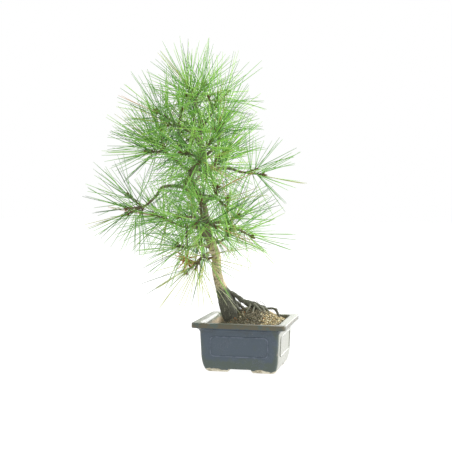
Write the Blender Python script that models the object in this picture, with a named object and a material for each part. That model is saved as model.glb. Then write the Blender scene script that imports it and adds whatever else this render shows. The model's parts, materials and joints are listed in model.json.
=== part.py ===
"""A Japanese black pine grown as a bonsai in a glazed rectangular pot, at its real size.

Everything is in metres, with +Z up. The pot stands on four feet at height 0. The tree has a front of its
own, turned a little from the pot's front, so its places are given as across (to the right of that front),
deep (away from it) and up. A limb is a tapering tube, and a mass of foliage is one stem with side twigs,
each of which ends in a tuft of needles.
"""

import math
import random

import bmesh
import bpy
import numpy as np
from mathutils import Matrix, Vector

MM = 0.001
GAP = 0.3 * MM

# Pot
RIM_WIDTH = 160 * MM
RIM_DEPTH = 150 * MM
RIM_HEIGHT = 84 * MM
RIM_CORNER = 8 * MM
LIP_DROP = 8 * MM
LIP_ROUND = 1.6 * MM
NECK_INSET = 12 * MM
NECK_HEIGHT = 66 * MM
FOOT_INSET = 24.4 * MM
BELLY_HEIGHT = 34 * MM
BELLY_INSET = 13.4 * MM
INNER_INSET = 18.5 * MM
MOUTH_INSET = 15 * MM
POT_FLOOR = 13 * MM
FOOT_HEIGHT = 6 * MM
FOOT_GAP_BELOW = 44 * MM
FOOT_GAP_ABOVE = 38 * MM
FRAME_LOW = 28 * MM
FRAME_HIGH = 61 * MM
FRAME_SIDE = 31 * MM
FRAME_BEAD = 2.2 * MM
FRAME_PROUD = 0.8 * MM
FRAME_CORNER = 7 * MM

# Soil
SOIL_EDGE = 19.8 * MM
SOIL_LEFT = 65 * MM
SOIL_RIGHT = 80 * MM
MOUND_HEIGHT = 31 * MM
MOUND_PLACE = (8 * MM, 2 * MM)
MOUND_SPREAD = (45 * MM, 37 * MM)
SOIL_CELLS = 9

# Tree
TREE_TURN = math.radians(13.65)
TRUNK_FOOT = 72 * MM
TRUNK_SIDES = 11
TRUNK_STEP = 13 * MM
LIMB_SIDES = 6
LIMB_STEP = 11 * MM

# Foliage
NEEDLE = 92 * MM
NEEDLE_RADIUS = 2.4 * MM
SISTER_SHARE = 0.3
NEEDLE_WIDE = math.radians(86)
NEEDLE_NARROW = math.radians(14)
NEEDLE_JITTER = math.radians(6)
NEEDLE_CLEARANCE = 0.3 * MM
NEEDLE_TRIES = 6
LOWEST_NEEDLE = 100 * MM
SHOOT_SIDES = 5
SHOOT_RINGS = 6
SHOOT_ROOM = 5 * MM
CORE_LENGTH = 25 * MM
CORE_RADIUS = 2.9 * MM
TWIG_RADIUS = 1.9 * MM
SHOOT_LEAN = math.radians(54)

# Each trunk station is across, deep, up and radius, in millimetres.
TRUNK = [
    (-20, 0, 72, 11.6),
    (-27, 0, 90, 14.2),
    (-32, 0, 105, 14.2),
    (-38, 1, 122, 12.0),
    (-43, 1, 135, 9.6),
    (-48, 2, 149, 8.0),
    (-52, 3, 168, 7.6),
    (-53, 4, 192, 7.3),
    (-61, 2, 214, 7.0),
    (-68, 0, 234, 6.6),
    (-75, -3, 278, 5.8),
    (-87, -5, 305, 5.2),
    (-96, -5, 326, 4.7),
    (-88, -2, 345, 4.3),
    (-74, 2, 362, 3.9),
    (-80, 5, 392, 3.4),
    (-80, 5, 427, 2.8),
]

# Roots grown together with the trunk's foot, and those that arch over the soil, as the trunk's stations.
ROOT_RIBS = {
    "rib_front": [(-40, -5, 130, 6.0), (-32, -9, 112, 6.0), (-22, -12, 94, 5.6), (-16, -12, 72, 5.0)],
    "rib_right": [(-38, 3, 134, 6.0), (-27, 3, 118, 6.4), (-18, 2, 98, 5.4), (-13, 2, 72, 5.0)],
    "rib_back": [(-38, 8, 126, 5.5), (-30, 13, 104, 5.6), (-24, 14, 86, 5.0), (-20, 14, 72, 4.6)],
    "rib_left": [(-43, -2, 128, 6.4), (-41, -4, 108, 6.0), (-36, -4, 90, 5.4), (-27, -4, 72, 4.4)],
}
ROOTS = {
    "root_arch": [(-38, 0, 135, 3.6), (-19, -2, 124, 3.6), (-5, -4, 114, 4.4), (10, -5, 109, 5.2),
                  (25, -4, 103, 5.2), (33, -2, 97, 4.4), (37, -1, 86, 3.4)],
    "root_fork": [(-35, 4, 128, 3.6), (-21, 9, 114, 3.0), (-8, 15, 102, 2.8), (4, 19, 90, 2.6)],
    "root_strand": [(-27, -8, 108, 2.0), (-18, -9, 101, 1.6), (-9, -10, 100, 1.4), (-1, -10, 97, 1.6)],
    "root_knee": [(27, -4, 100, 2.4), (37, -5, 102, 1.8), (48, -6, 101, 2.3), (53, -6, 94, 2.1),
                  (58, -6, 80, 1.6)],
}

# Each bough: the height on the trunk where it starts, its radius there, and its stations to its tip.
BOUGHS = {
    "bough_foot_left": (205, 3.2, [(-80, -6, 212, 2.7), (-98, -8, 208, 2.0)]),
    "bough_foot_front": (196, 3.0, [(-62, -16, 199, 2.5), (-72, -25, 196, 2.0)]),
    "bough_foot_right": (212, 3.1, [(-50, 6, 216, 2.6), (-44, 8, 218, 2.2)]),
    "bough_low_left": (235, 3.5, [(-88, -8, 242, 3.0), (-104, -12, 243, 2.3)]),
    "bough_low_right": (242, 3.4, [(-52, -6, 250, 2.8), (-40, -8, 250, 2.3)]),
    "bough_back_low": (228, 3.5, [(-66, 20, 242, 2.9), (-68, 38, 252, 2.3)]),
    "bough_front_low": (262, 3.2, [(-72, -20, 264, 2.7), (-74, -32, 263, 2.2)]),
    "bough_centre_right": (280, 3.3, [(-66, -18, 290, 2.8), (-56, -28, 292, 2.3)]),
    "bough_left_low": (298, 3.7, [(-112, -12, 311, 3.1), (-142, -18, 311, 2.7), (-153, -21, 297, 2.4),
                                  (-166, -24, 284, 2.1)]),
    "bough_back_mid": (312, 3.3, [(-88, 16, 322, 2.7), (-84, 34, 328, 2.2)]),
    "bough_left_mid": (335, 3.2, [(-110, 6, 346, 2.8), (-124, 12, 358, 2.2)]),
    "bough_right_far": (340, 3.3, [(-64, 4, 341, 2.9), (-34, 8, 343, 2.6), (-14, 10, 338, 2.2)]),
    "bough_front_high": (352, 2.9, [(-80, -20, 362, 2.5), (-82, -30, 366, 2.0)]),
    "bough_right_mid": (362, 3.0, [(-62, -4, 372, 2.6), (-52, -10, 380, 2.1)]),
    "bough_back_high": (378, 2.9, [(-86, 22, 388, 2.4), (-88, 32, 394, 1.9)]),
    "bough_left_high": (388, 3.0, [(-94, -6, 402, 2.7), (-112, -12, 413, 2.2)]),
    "bough_right_high": (408, 2.6, [(-68, -1, 425, 2.2), (-61, -4, 434, 1.9)]),
}

# Each mass: where its stem starts, the stem's end as across, deep and up in millimetres, its number of side
# shoots, their length in millimetres, the roll of the first one about the stem, and how far needles lift.
MASSES = {
    "apex": ("trunk", (-104, 8, 488), 3, 32, 90, 0.0),
    "high_right": ("bough_right_high", (-50, -16, 465), 2, 46, 120, -0.10),
    "high_left": ("bough_left_high", (-130, -36, 415), 3, 44, 45, 0.15),
    "high_back": ("bough_back_high", (-100, 68, 414), 4, 46, 180, 0.0),
    "mid_left": ("bough_left_mid", (-170, 16, 392), 3, 36, 60, 0.15),
    "mid_right": ("bough_right_mid", (-46, -30, 424), 2, 46, 90, 0.12),
    "mid_front": ("bough_front_high", (-80, -76, 350), 3, 46, 150, 0.15),
    "far_right": ("bough_right_far", (27, 0, 332), 1, 46, 75, 0.12),
    "centre_right": ("bough_centre_right", (-50, -52, 310), 3, 44, 195, -0.10),
    "centre_back": ("bough_back_mid", (-45, 86, 356), 4, 46, 45, 0.15),
    "low_left": ("bough_left_low", (-202, -20, 266), 3, 34, 105, 0.12),
    "low_front": ("bough_front_low", (-84, -76, 252), 3, 46, 75, 0.03),
    "low_back": ("bough_back_low", (-90, 70, 246), 3, 42, 180, -0.12),
    "under_left": ("bough_low_left", (-160, -8, 264), 1, 34, 90, -0.06),
    "under_right": ("bough_low_right", (-16, -20, 262), 2, 46, 20, 0.10),
    "foot_left": ("bough_foot_left", (-118, -28, 212), 1, 46, 330, 0.0),
    "foot_right": ("bough_foot_right", (-25, 6, 240), 1, 38, 90, -0.12),
    "foot_front": ("bough_foot_front", (-86, -48, 176), 2, 34, 300, -0.10),
}


def tree_point(across, deep, up):
    """A place in the tree's own front view, in millimetres, as a point of the model."""
    return Matrix.Rotation(TREE_TURN, 4, "Z") @ Vector((across * MM, deep * MM, up * MM))


def material(name, colour, roughness, metallic=0.0):
    made = bpy.data.materials.new(name)
    made.use_nodes = True
    shader = made.node_tree.nodes["Principled BSDF"]
    shader.inputs["Base Color"].default_value = (*colour, 1.0)
    shader.inputs["Roughness"].default_value = roughness
    shader.inputs["Metallic"].default_value = metallic
    return made


def new_object(name, points, faces, surface=None):
    mesh = bpy.data.meshes.new(name)
    mesh.from_pydata(points, [], faces)
    mesh.validate()
    if surface:
        mesh.materials.append(surface)
    made = bpy.data.objects.new(name, mesh)
    bpy.context.scene.collection.objects.link(made)
    return made


def remove(thing):
    mesh = thing.data
    bpy.data.objects.remove(thing)
    bpy.data.meshes.remove(mesh)


def smooth_path(stations, step=LIMB_STEP, start=None):
    """Points and radii along a smooth curve through the stations, about one step apart."""
    knots = [(tree_point(*s[:3]), s[3] * MM) for s in stations]
    if start:
        knots.insert(0, start)
    before = (knots[0][0] * 2 - knots[1][0], knots[0][1])
    after = (knots[-1][0] * 2 - knots[-2][0], knots[-1][1])
    knots = [before, *knots, after]
    path = []
    for i in range(1, len(knots) - 2):
        (a, _), (b, rb), (c, rc), (d, _) = knots[i - 1 : i + 3]
        pieces = max(1, round((c - b).length / step))
        for k in range(pieces):
            t = k / pieces
            bend = (2 * a - 5 * b + 4 * c - d) * t**2 + (3 * b - a - 3 * c + d) * t**3
            place = 0.5 * (2 * b + (c - a) * t + bend)
            path.append((place, rb + (rc - rb) * t))
    path.append(knots[-2])
    return path


def side_axes(along):
    """Two directions square to along, and to each other."""
    helper = Vector((0, 0, 1)) if abs(along.z) < 0.9 else Vector((1, 0, 0))
    first = along.cross(helper).normalized()
    return first, along.cross(first).normalized()


def tube_shape(path, sides, grow=0.0, first_level=False, lump=0.0, seed=0):
    """Points and faces of a closed tapering tube. first_level cuts its first end flat and level."""
    rng = random.Random(seed)
    points, faces = [], []
    last = len(path) - 1
    across, beside = side_axes((path[1][0] - path[0][0]).normalized())
    for i, (place, radius) in enumerate(path):
        along = (path[min(i + 1, last)][0] - path[max(i - 1, 0)][0]).normalized()
        across = (across - along * across.dot(along)).normalized()
        beside = along.cross(across).normalized()
        wobble = [1 + lump * rng.uniform(-1, 1) for _ in range(sides)]
        for k in range(sides):
            turn = math.tau * k / sides
            out = across * math.cos(turn) + beside * math.sin(turn)
            point = place + out * (radius * wobble[k] + grow)
            if first_level and i == 0:
                point += along * ((place.z - point.z) / along.z)
            points.append(point)
    for i in range(last):
        for k in range(sides):
            nxt = (k + 1) % sides
            faces.append((i * sides + k, i * sides + nxt, (i + 1) * sides + nxt, (i + 1) * sides + k))
    faces.append(tuple(reversed(range(sides))))
    faces.append(tuple(range(last * sides, (last + 1) * sides)))
    return points, faces


def boolean(target, operation, other=None, group=None, solver="EXACT"):
    """Applies one Boolean to target, by an object or by a collection of objects."""
    cut = target.modifiers.new("cut", "BOOLEAN")
    cut.operation = operation
    cut.solver = solver
    if group:
        cut.operand_type = "COLLECTION"
        cut.collection = group
    else:
        cut.object = other
    evaluated = target.evaluated_get(bpy.context.evaluated_depsgraph_get())
    result = bpy.data.meshes.new_from_object(evaluated)
    old = target.data
    target.modifiers.clear()
    target.data = result
    result.name = target.name
    bpy.data.meshes.remove(old)


def volume_of(faces):
    """The signed volume that these faces enclose."""
    total = 0.0
    for face in faces:
        first = face.verts[0].co
        for a, b in zip(face.verts[1:-1], face.verts[2:]):
            total += first.dot(a.co.cross(b.co)) / 6
    return total


def keep_largest(thing):
    """Drops loose scraps and fills sealed hollows: only the largest connected shell stays."""
    work = bmesh.new()
    work.from_mesh(thing.data)
    unseen = set(work.faces)
    shells = []
    while unseen:
        stack = [unseen.pop()]
        shell = list(stack)
        while stack:
            for edge in stack.pop().edges:
                for near in edge.link_faces:
                    if near in unseen:
                        unseen.remove(near)
                        stack.append(near)
                        shell.append(near)
        shells.append(shell)
    shells.sort(key=volume_of, reverse=True)
    scraps = [face for shell in shells[1:] for face in shell]
    bmesh.ops.delete(work, geom=scraps, context="FACES")
    bmesh.ops.triangulate(work, faces=work.faces)
    work.to_mesh(thing.data)
    work.free()


def fuse(thing, others, solver="MANIFOLD"):
    """Joins the others into thing by one Boolean union on a collection."""
    group = bpy.data.collections.new("joined")
    bpy.context.scene.collection.children.link(group)
    for other in others:
        bpy.context.scene.collection.objects.unlink(other)
        group.objects.link(other)
    boolean(thing, "UNION", group=group, solver=solver)
    for other in others:
        remove(other)
    bpy.data.collections.remove(group)
    keep_largest(thing)


# Pot


def rounded_rectangle(half_width, half_depth, corner, height, per_corner=3):
    """One level ring of points, anticlockwise seen from above."""
    ring = []
    for sign_x, sign_y, start in ((1, 1, 0), (-1, 1, 90), (-1, -1, 180), (1, -1, 270)):
        centre = Vector((sign_x * (half_width - corner), sign_y * (half_depth - corner), height))
        for k in range(per_corner + 1):
            turn = math.radians(start + 90 * k / per_corner)
            ring.append(centre + Vector((math.cos(turn), math.sin(turn), 0)) * corner)
    return ring


def outer_profile():
    """The pot's outside from its foot to its lip, as (inset from the rim, height)."""
    profile = []
    for k in range(6):
        turn = math.radians(90 * k / 5)
        inset = FOOT_INSET - (FOOT_INSET - BELLY_INSET) * math.sin(turn)
        profile.append((inset, BELLY_HEIGHT * (1 - math.cos(turn))))
    for k in range(6):
        turn = math.radians(90 * (1 - k / 5))
        inset = NECK_INSET * math.sin(turn)
        height = NECK_HEIGHT + (RIM_HEIGHT - LIP_DROP - NECK_HEIGHT) * math.cos(turn)
        profile.append((inset, height))
    profile.append((0, RIM_HEIGHT - LIP_ROUND))
    profile.append((LIP_ROUND, RIM_HEIGHT))
    return profile


def inner_profile():
    """The pot's inside from its mouth down to its floor, as (inset from the rim, height)."""
    return [
        (MOUTH_INSET, RIM_HEIGHT - 1 * MM),
        (INNER_INSET - 1 * MM, RIM_HEIGHT - 6 * MM),
        (INNER_INSET, NECK_HEIGHT),
        (INNER_INSET + 2 * MM, BELLY_HEIGHT),
        (INNER_INSET + 10 * MM, POT_FLOOR + 2 * MM),
        (INNER_INSET + 14 * MM, POT_FLOOR),
    ]


def ring_at(inset, height, extra=0.0):
    inset += extra
    corner = max(RIM_CORNER - inset * 0.1, 3 * MM)
    return rounded_rectangle(RIM_WIDTH / 2 - inset, RIM_DEPTH / 2 - inset, corner, height)


def skin(name, rings, surface=None, peak=None):
    """A closed shape through level rings of equal counts. A peak closes its top at that height."""
    count = len(rings[0])
    points = [p for ring in rings for p in ring]
    faces = []
    for i in range(len(rings) - 1):
        for k in range(count):
            nxt = (k + 1) % count
            faces.append((i * count + k, i * count + nxt, (i + 1) * count + nxt, (i + 1) * count + k))
    faces.append(tuple(reversed(range(count))))
    last = (len(rings) - 1) * count
    if peak is None:
        faces.append(tuple(range(last, last + count)))
    else:
        points.append(Vector((0, 0, peak)))
        faces += [(last + k, last + (k + 1) % count, len(points) - 1) for k in range(count)]
    return new_object(name, points, faces, surface)


def foot_gap_cutter(name, along_x):
    """A long bar under the pot whose sides lean in, which leaves the feet at the corners."""
    reach = RIM_WIDTH
    low, high = FOOT_GAP_BELOW / 2, FOOT_GAP_ABOVE / 2
    below = -FOOT_HEIGHT
    flare = (low - high) / FOOT_HEIGHT
    section = [(-low - flare * FOOT_HEIGHT, below), (low + flare * FOOT_HEIGHT, below), (high, FOOT_HEIGHT),
               (-high, FOOT_HEIGHT)]
    points = []
    for end in (-reach, reach):
        for side, height in section:
            points.append((end, side, height) if along_x else (side, end, height))
    faces = [(0, 1, 5, 4), (1, 2, 6, 5), (2, 3, 7, 6), (3, 0, 4, 7), (3, 2, 1, 0), (4, 5, 6, 7)]
    cutter = new_object(name, points, faces)
    work = bmesh.new()
    work.from_mesh(cutter.data)
    bmesh.ops.recalc_face_normals(work, faces=work.faces)
    work.to_mesh(cutter.data)
    work.free()
    return cutter


def wall_inset(height):
    """How far the pot's outside lies in from the rim at this height."""
    profile = outer_profile()
    for (inset_a, low), (inset_b, high) in zip(profile, profile[1:]):
        if low <= height <= high:
            share = (height - low) / (high - low)
            return inset_a + (inset_b - inset_a) * share
    return 0.0


def panel_frame(name, face_turn, half_span, face_half):
    """The raised frame on one face of the pot: a bead that follows a rectangle with round corners."""
    width = 2 * (half_span - FRAME_SIDE)
    height = FRAME_HIGH - FRAME_LOW
    outline = rounded_rectangle(width / 2, height / 2, FRAME_CORNER, 0)
    middle = (FRAME_LOW + FRAME_HIGH) / 2
    rings = []
    for point in outline:
        centre = Vector((point.x, 0, point.y))
        toward = Vector((-point.x / width, 0, -point.y / height)).normalized()
        ring = []
        for inward, outward in ((-1, -2), (-1, 0.55), (0, 1), (1, 0.55), (1, -2)):
            place = centre + toward * (inward * FRAME_BEAD / 2)
            level = middle + place.z
            face = -(face_half - wall_inset(level))
            ring.append(Vector((place.x, face - outward * FRAME_PROUD, level)))
        rings.append(ring)
    count = len(rings[0])
    points = [Matrix.Rotation(face_turn, 4, "Z") @ p for ring in rings for p in ring]
    faces = []
    for i in range(len(rings)):
        j = (i + 1) % len(rings)
        for k in range(count):
            nxt = (k + 1) % count
            faces.append((i * count + k, i * count + nxt, j * count + nxt, j * count + k))
    frame = new_object(name, points, faces)
    work = bmesh.new()
    work.from_mesh(frame.data)
    bmesh.ops.recalc_face_normals(work, faces=work.faces)
    work.to_mesh(frame.data)
    work.free()
    return frame


def make_pot(surface):
    outside = [ring_at(*p) for p in outer_profile()]
    inside = [ring_at(*p) for p in inner_profile()]
    pot = skin("pot", outside + inside, surface)
    for along_x in (True, False):
        cutter = foot_gap_cutter("foot_gap", along_x)
        boolean(pot, "DIFFERENCE", cutter)
        remove(cutter)
    frames = []
    for quarter in range(4):
        across_x = quarter % 2 == 0
        half_span = (RIM_WIDTH if across_x else RIM_DEPTH) / 2
        face_half = (RIM_DEPTH if across_x else RIM_WIDTH) / 2
        frames.append(panel_frame("frame", math.pi / 2 * quarter, half_span, face_half))
    fuse(pot, frames, "EXACT")
    return pot


# Soil


def soil_height(x, y):
    """The soil's top: it rises to the right, and is heaped up under the bare roots."""
    dx = (x - MOUND_PLACE[0]) / MOUND_SPREAD[0]
    dy = (y - MOUND_PLACE[1]) / MOUND_SPREAD[1]
    level = SOIL_LEFT + (SOIL_RIGHT - SOIL_LEFT) * (x / RIM_WIDTH + 0.5)
    return level + MOUND_HEIGHT * math.exp(-((dx * dx + dy * dy) ** 1.25))


def make_soil(surface):
    """Fills the pot below its mouth, a hair clear of the walls, with a heaped top."""
    walls = [p for p in reversed(inner_profile()) if p[1] <= BELLY_HEIGHT]
    rings = [ring_at(inset, height + (GAP if i == 0 else 0), GAP) for i, (inset, height) in enumerate(walls)]
    brim = ring_at(SOIL_EDGE, SOIL_LEFT)
    for k in range(SOIL_CELLS):
        share = 1 - k / SOIL_CELLS
        places = [(p.x * share, p.y * share) for p in brim]
        rings.append([Vector((x, y, soil_height(x, y))) for x, y in places])
    return skin("soil", rings, surface, soil_height(0, 0))


# Limbs


class Clearance:
    """The tapering straight pieces that are already in place, for the tests of what may stand near them."""

    def __init__(self):
        self.starts, self.ends, self.radii, self.owners = [], [], [], []

    def add(self, start, end, start_radius, end_radius, owner):
        self.starts.append(tuple(start))
        self.ends.append(tuple(end))
        self.radii.append((start_radius, end_radius))
        self.owners.append(owner)

    def add_path(self, path, owner):
        for (a, ra), (b, rb) in zip(path, path[1:]):
            self.add(a, b, ra, rb, owner)

    def is_clear(self, start, end, start_radius, end_radius, leave_out=(), only=None):
        """Whether a new tapering piece stays clear of every piece but those of the owners left out."""
        if only:
            kept = [i for i, owner in enumerate(self.owners) if owner == only]
        else:
            kept = [i for i, owner in enumerate(self.owners) if owner not in leave_out]
        if not kept:
            return True
        shares, others, apart = closest_between(np.array(start), np.array(end), np.array(self.starts)[kept],
                                                np.array(self.ends)[kept])
        radii = np.array(self.radii)[kept] * (SISTER_SHARE if only else 1)
        near = start_radius + (end_radius - start_radius) * shares
        far = radii[:, 0] + (radii[:, 1] - radii[:, 0]) * others
        return bool((apart > near + far + NEEDLE_CLEARANCE).all())


def closest_between(start, end, starts, ends):
    """Where one segment and each of several come closest, as shares of each, and how far apart they are."""
    d1, d2, r = end - start, ends - starts, start - starts
    a, e = d1 @ d1, np.einsum("ij,ij->i", d2, d2)
    b, c, f = d2 @ d1, r @ d1, np.einsum("ij,ij->i", d2, r)
    denominator = np.maximum(a * e - b * b, 1e-18)
    s = np.clip((b * f - c * e) / denominator, 0, 1)
    t = np.clip((b * s + f) / e, 0, 1)
    s = np.clip((b * t - c) / a, 0, 1)
    apart = start + s[:, None] * d1 - starts - t[:, None] * d2
    return s, t, np.linalg.norm(apart, axis=1)


def rib_path(stations):
    return list(reversed(smooth_path(stations, TRUNK_STEP)))


def trunk_shapes(path, grow=0.0):
    """The trunk's tube and those of the ribs at its foot, as objects, swollen by grow."""
    shapes = [new_object("trunk", *tube_shape(path, TRUNK_SIDES, grow, True, 0.06, 3))]
    for i, (name, stations) in enumerate(ROOT_RIBS.items()):
        shapes.append(new_object(name, *tube_shape(rib_path(stations), LIMB_SIDES, grow, True, 0.1, 20 + i)))
    if grow:
        for shape in shapes:
            for vertex in shape.data.vertices:
                vertex.co.z -= grow * (vertex.co.z < TRUNK_FOOT + grow)
    return shapes


def make_trunk(surface, clearance):
    """The trunk with the ribs at its foot, its middle line, and a swollen copy to cut others clear."""
    path = smooth_path(TRUNK, TRUNK_STEP)
    trunk, *ribs = trunk_shapes(path)
    trunk.data.materials.append(surface)
    fuse(trunk, ribs)
    cutter, *ribs = trunk_shapes(path, GAP)
    cutter.name = "trunk_cutter"
    fuse(cutter, ribs)
    clearance.add_path(path, "trunk")
    return path, cutter


def on_trunk(path, height):
    """The point of the trunk's middle line at this height in millimetres, when followed up from its foot."""
    level = height * MM
    for (a, _), (b, _) in zip(path, path[1:]):
        if a.z <= level <= b.z:
            return a + (b - a) * ((level - a.z) / (b.z - a.z))
    return path[-1][0]


def make_limb(name, path, surface, cutters, clearance, lump, seed):
    """One tapering tube, cut a hair clear of what it starts from, and a swollen copy of it as a cutter."""
    limb = new_object(name, *tube_shape(path, LIMB_SIDES, lump=lump, seed=seed), surface)
    for cutter in cutters:
        boolean(limb, "DIFFERENCE", cutter)
    keep_largest(limb)
    clearance.add_path(path[1:], name)
    return new_object("cutter", *tube_shape(path, LIMB_SIDES, GAP, lump=lump, seed=seed))


# Foliage


def shoot_rings(foot, tip, axis, foot_radius):
    """The rings of a shoot up to its needles' core, as (place, radius), and where the core begins."""
    length = (tip - foot).length
    twig = length - CORE_LENGTH
    rings = [(0.0, foot_radius)]
    if twig > 8 * MM:
        rings.append((twig * 0.5, TWIG_RADIUS))
    first = len(rings)
    for k in range(SHOOT_RINGS):
        share = k / SHOOT_RINGS
        swell = 0.72 + 0.5 * math.sin(math.pi * min(share + 0.1, 1)) - 0.28 * share
        rings.append((max(twig, 0) + CORE_LENGTH * share, CORE_RADIUS * swell))
    return [(foot + axis * along, radius) for along, radius in rings], first


def shoot_shape(stem, tip, core, lift, clearance, rng):
    """Points and faces of one shoot whose core bears a needle on each face with room for it.

    A needle is three long faces in place of a face of the core, so the shoot stays one closed surface.
    """
    axis = (tip - stem[-1][0]).normalized()
    rings, core_start = shoot_rings(stem[-1][0], tip, axis, stem[-1][1])
    core_start += len(stem) - 1
    rings = stem[:-1] + rings
    across, beside = side_axes((rings[1][0] - rings[0][0]).normalized())
    points, faces = [], []
    for i, (place, radius) in enumerate(rings):
        before, after = rings[max(i - 1, 0)][0], rings[min(i + 1, len(rings) - 1)][0]
        along = (after - before).normalized() if i else (after - place).normalized()
        across = (across - along * across.dot(along)).normalized()
        beside = along.cross(across)
        for k in range(SHOOT_SIDES):
            turn = math.tau * (k + i / 2) / SHOOT_SIDES
            points.append(place + (across * math.cos(turn) + beside * math.sin(turn)) * radius)
    points.append(tip)
    count = SHOOT_SIDES
    faces.append(tuple(reversed(range(count))))
    bearing = []
    for i in range(len(rings) - 1):
        for k in range(count):
            nxt = (k + 1) % count
            pair = [(i * count + k, i * count + nxt, (i + 1) * count + k),
                    (i * count + nxt, (i + 1) * count + nxt, (i + 1) * count + k)]
            (bearing if i >= core_start else faces).extend(pair)
    last = (len(rings) - 1) * count
    bearing += [(last + k, last + (k + 1) % count, len(points) - 1) for k in range(count)]
    core_foot = rings[core_start][0]
    for corners in bearing:
        apex = needle_tip([points[c] for c in corners], core_foot, axis, lift, core, clearance, rng)
        if apex is None:
            faces.append(corners)
            continue
        points.append(apex)
        a, b, c = corners
        faces += [(a, b, len(points) - 1), (b, c, len(points) - 1), (c, a, len(points) - 1)]
    return points, faces


def needle_tip(corners, core_foot, axis, lift, core, clearance, rng):
    """Where the needle on this face ends, or None where every try would touch something else."""
    sisters = ("needles", *core)
    base = sum(corners, Vector()) / 3
    along = (base - core_foot).dot(axis)
    out = (base - core_foot - axis * along).normalized()
    normal = (corners[1] - corners[0]).cross(corners[2] - corners[0]).normalized()
    share = min(max(along / CORE_LENGTH, 0), 1)
    for attempt in range(NEEDLE_TRIES):
        loose = 1 + attempt * 0.8
        lean = NEEDLE_WIDE + (NEEDLE_NARROW - NEEDLE_WIDE) * share**0.9 + rng.gauss(0, NEEDLE_JITTER) * loose
        side = axis.cross(out) * rng.gauss(0, 0.1) * loose
        direction = axis * math.cos(lean) + (out + side).normalized() * math.sin(lean)
        direction.z += lift
        direction.normalize()
        length = NEEDLE * rng.uniform(0.86, 1.05) * (1 - 0.12 * attempt)
        end = base + direction * length
        free = base + direction * SHOOT_ROOM
        if direction.dot(normal) < 0.12 or end.z < LOWEST_NEEDLE:
            continue
        if not clearance.is_clear(base, end, NEEDLE_RADIUS, 0.0, {core, sisters}):
            continue
        if not clearance.is_clear(free, end, NEEDLE_RADIUS * SISTER_SHARE, 0.0, only=sisters):
            continue
        clearance.add(base, end, NEEDLE_RADIUS, 0.0, sisters)
        return end
    return None


def side_shoot(stem, heading, share, roll, length, rng):
    """Where a side shoot starts on the stem, and its tip, turned by roll from the stem's upper side."""
    start, end = stem[1][0], stem[-1][0]
    foot = start + (end - start) * share
    across, beside = side_axes(heading)
    lean = SHOOT_LEAN + rng.uniform(-0.12, 0.12)
    out = across * math.sin(roll) - beside * math.cos(roll)
    axis = (heading * math.cos(lean) + out * math.sin(lean)).normalized()
    return foot, foot + axis * (length * MM * rng.uniform(0.9, 1.08)), axis


def plan_mass(name, boughs, trunk_path, clearance, rng):
    """The stem of a mass and its side shoots, which leave to one side, the other, then above."""
    start_name, stem_end, side_count, side_length, roll, _ = MASSES[name]
    (before, _), (bough_tip, radius) = (trunk_path if start_name == "trunk" else boughs[start_name])[-2:]
    along = (bough_tip - before).normalized()
    start, end = bough_tip + along * GAP, tree_point(*stem_end)
    knee = start + along * 5 * MM
    heading = (end - knee).normalized()
    stem = [(start, radius), (knee, radius * 0.95), (end - heading * CORE_LENGTH, TWIG_RADIUS * 1.1)]
    clearance.add_path([*stem, (end, CORE_RADIUS)], (name, 0))
    shoots = []
    for i in range(side_count):
        share = 0.3 + 0.6 * (i + 1) / (side_count + 1)
        for attempt in range(6):
            turn = math.radians(roll) + (0, math.pi, math.radians(-90))[i % 3] + attempt * 0.4
            foot, tip, axis = side_shoot(stem, heading, share, turn, side_length, rng)
            if clearance.is_clear(foot + axis * 8 * MM, tip, CORE_RADIUS, CORE_RADIUS):
                shoots.append((foot, tip))
                clearance.add(foot, tip, CORE_RADIUS, CORE_RADIUS, (name, len(shoots)))
                break
    return stem, end, shoots


def make_mass(name, plan, surface, clearance, rng):
    stem, end, shoots = plan
    lift = MASSES[name][5]
    whole = new_object(name, *shoot_shape(stem, end, (name, 0), lift, clearance, rng), surface)
    sides = []
    for i, (foot, tip) in enumerate(shoots):
        shape = shoot_shape([(foot, TWIG_RADIUS * 0.55)], tip, (name, i + 1), lift, clearance, rng)
        sides.append(new_object("side_shoot", *shape))
    if sides:
        fuse(whole, sides)


def clear_scene():
    for thing in list(bpy.data.objects):
        bpy.data.objects.remove(thing)


def stand_on_origin():
    """Moves the whole model so that the middle of its footprint's box is over the origin."""
    bpy.context.view_layer.update()
    things = [o for o in bpy.data.objects if o.type == "MESH"]
    corners = [v.co for o in things for v in o.data.vertices]
    middle_x = (min(p.x for p in corners) + max(p.x for p in corners)) / 2
    middle_y = (min(p.y for p in corners) + max(p.y for p in corners)) / 2
    for thing in things:
        thing.data.transform(Matrix.Translation((-middle_x, -middle_y, 0)))


def main():
    clear_scene()
    glaze = material("blue_glaze", (0.09, 0.12, 0.16), 0.2)
    grit = material("soil_grit", (0.30, 0.22, 0.13), 0.9)
    bark = material("bark", (0.42, 0.33, 0.24), 0.85)
    root_bark = material("root_bark", (0.07, 0.065, 0.045), 0.9)
    needles = material("needles", (0.13, 0.33, 0.06), 0.5)

    clearance = Clearance()
    make_pot(glaze)
    soil = make_soil(grit)
    trunk_path, trunk_cutter = make_trunk(bark, clearance)
    cutters = [trunk_cutter]
    for i, (name, stations) in enumerate(ROOTS.items()):
        cutters.append(make_limb(name, smooth_path(stations), root_bark, cutters, clearance, 0.1, 40 + i))
    for cutter in cutters:
        boolean(soil, "DIFFERENCE", cutter)
    keep_largest(soil)

    boughs = {}
    for i, (name, (height, radius, stations)) in enumerate(BOUGHS.items()):
        boughs[name] = smooth_path(stations, start=(on_trunk(trunk_path, height), radius * MM))
        cutters.append(make_limb(name, boughs[name], bark, [trunk_cutter], clearance, 0.05, 60 + i))
    for cutter in cutters:
        remove(cutter)

    rng = random.Random(11)
    plans = {name: plan_mass(name, boughs, trunk_path, clearance, rng) for name in MASSES}
    for name, plan in plans.items():
        make_mass(name, plan, needles, clearance, rng)
    stand_on_origin()


main()
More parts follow.
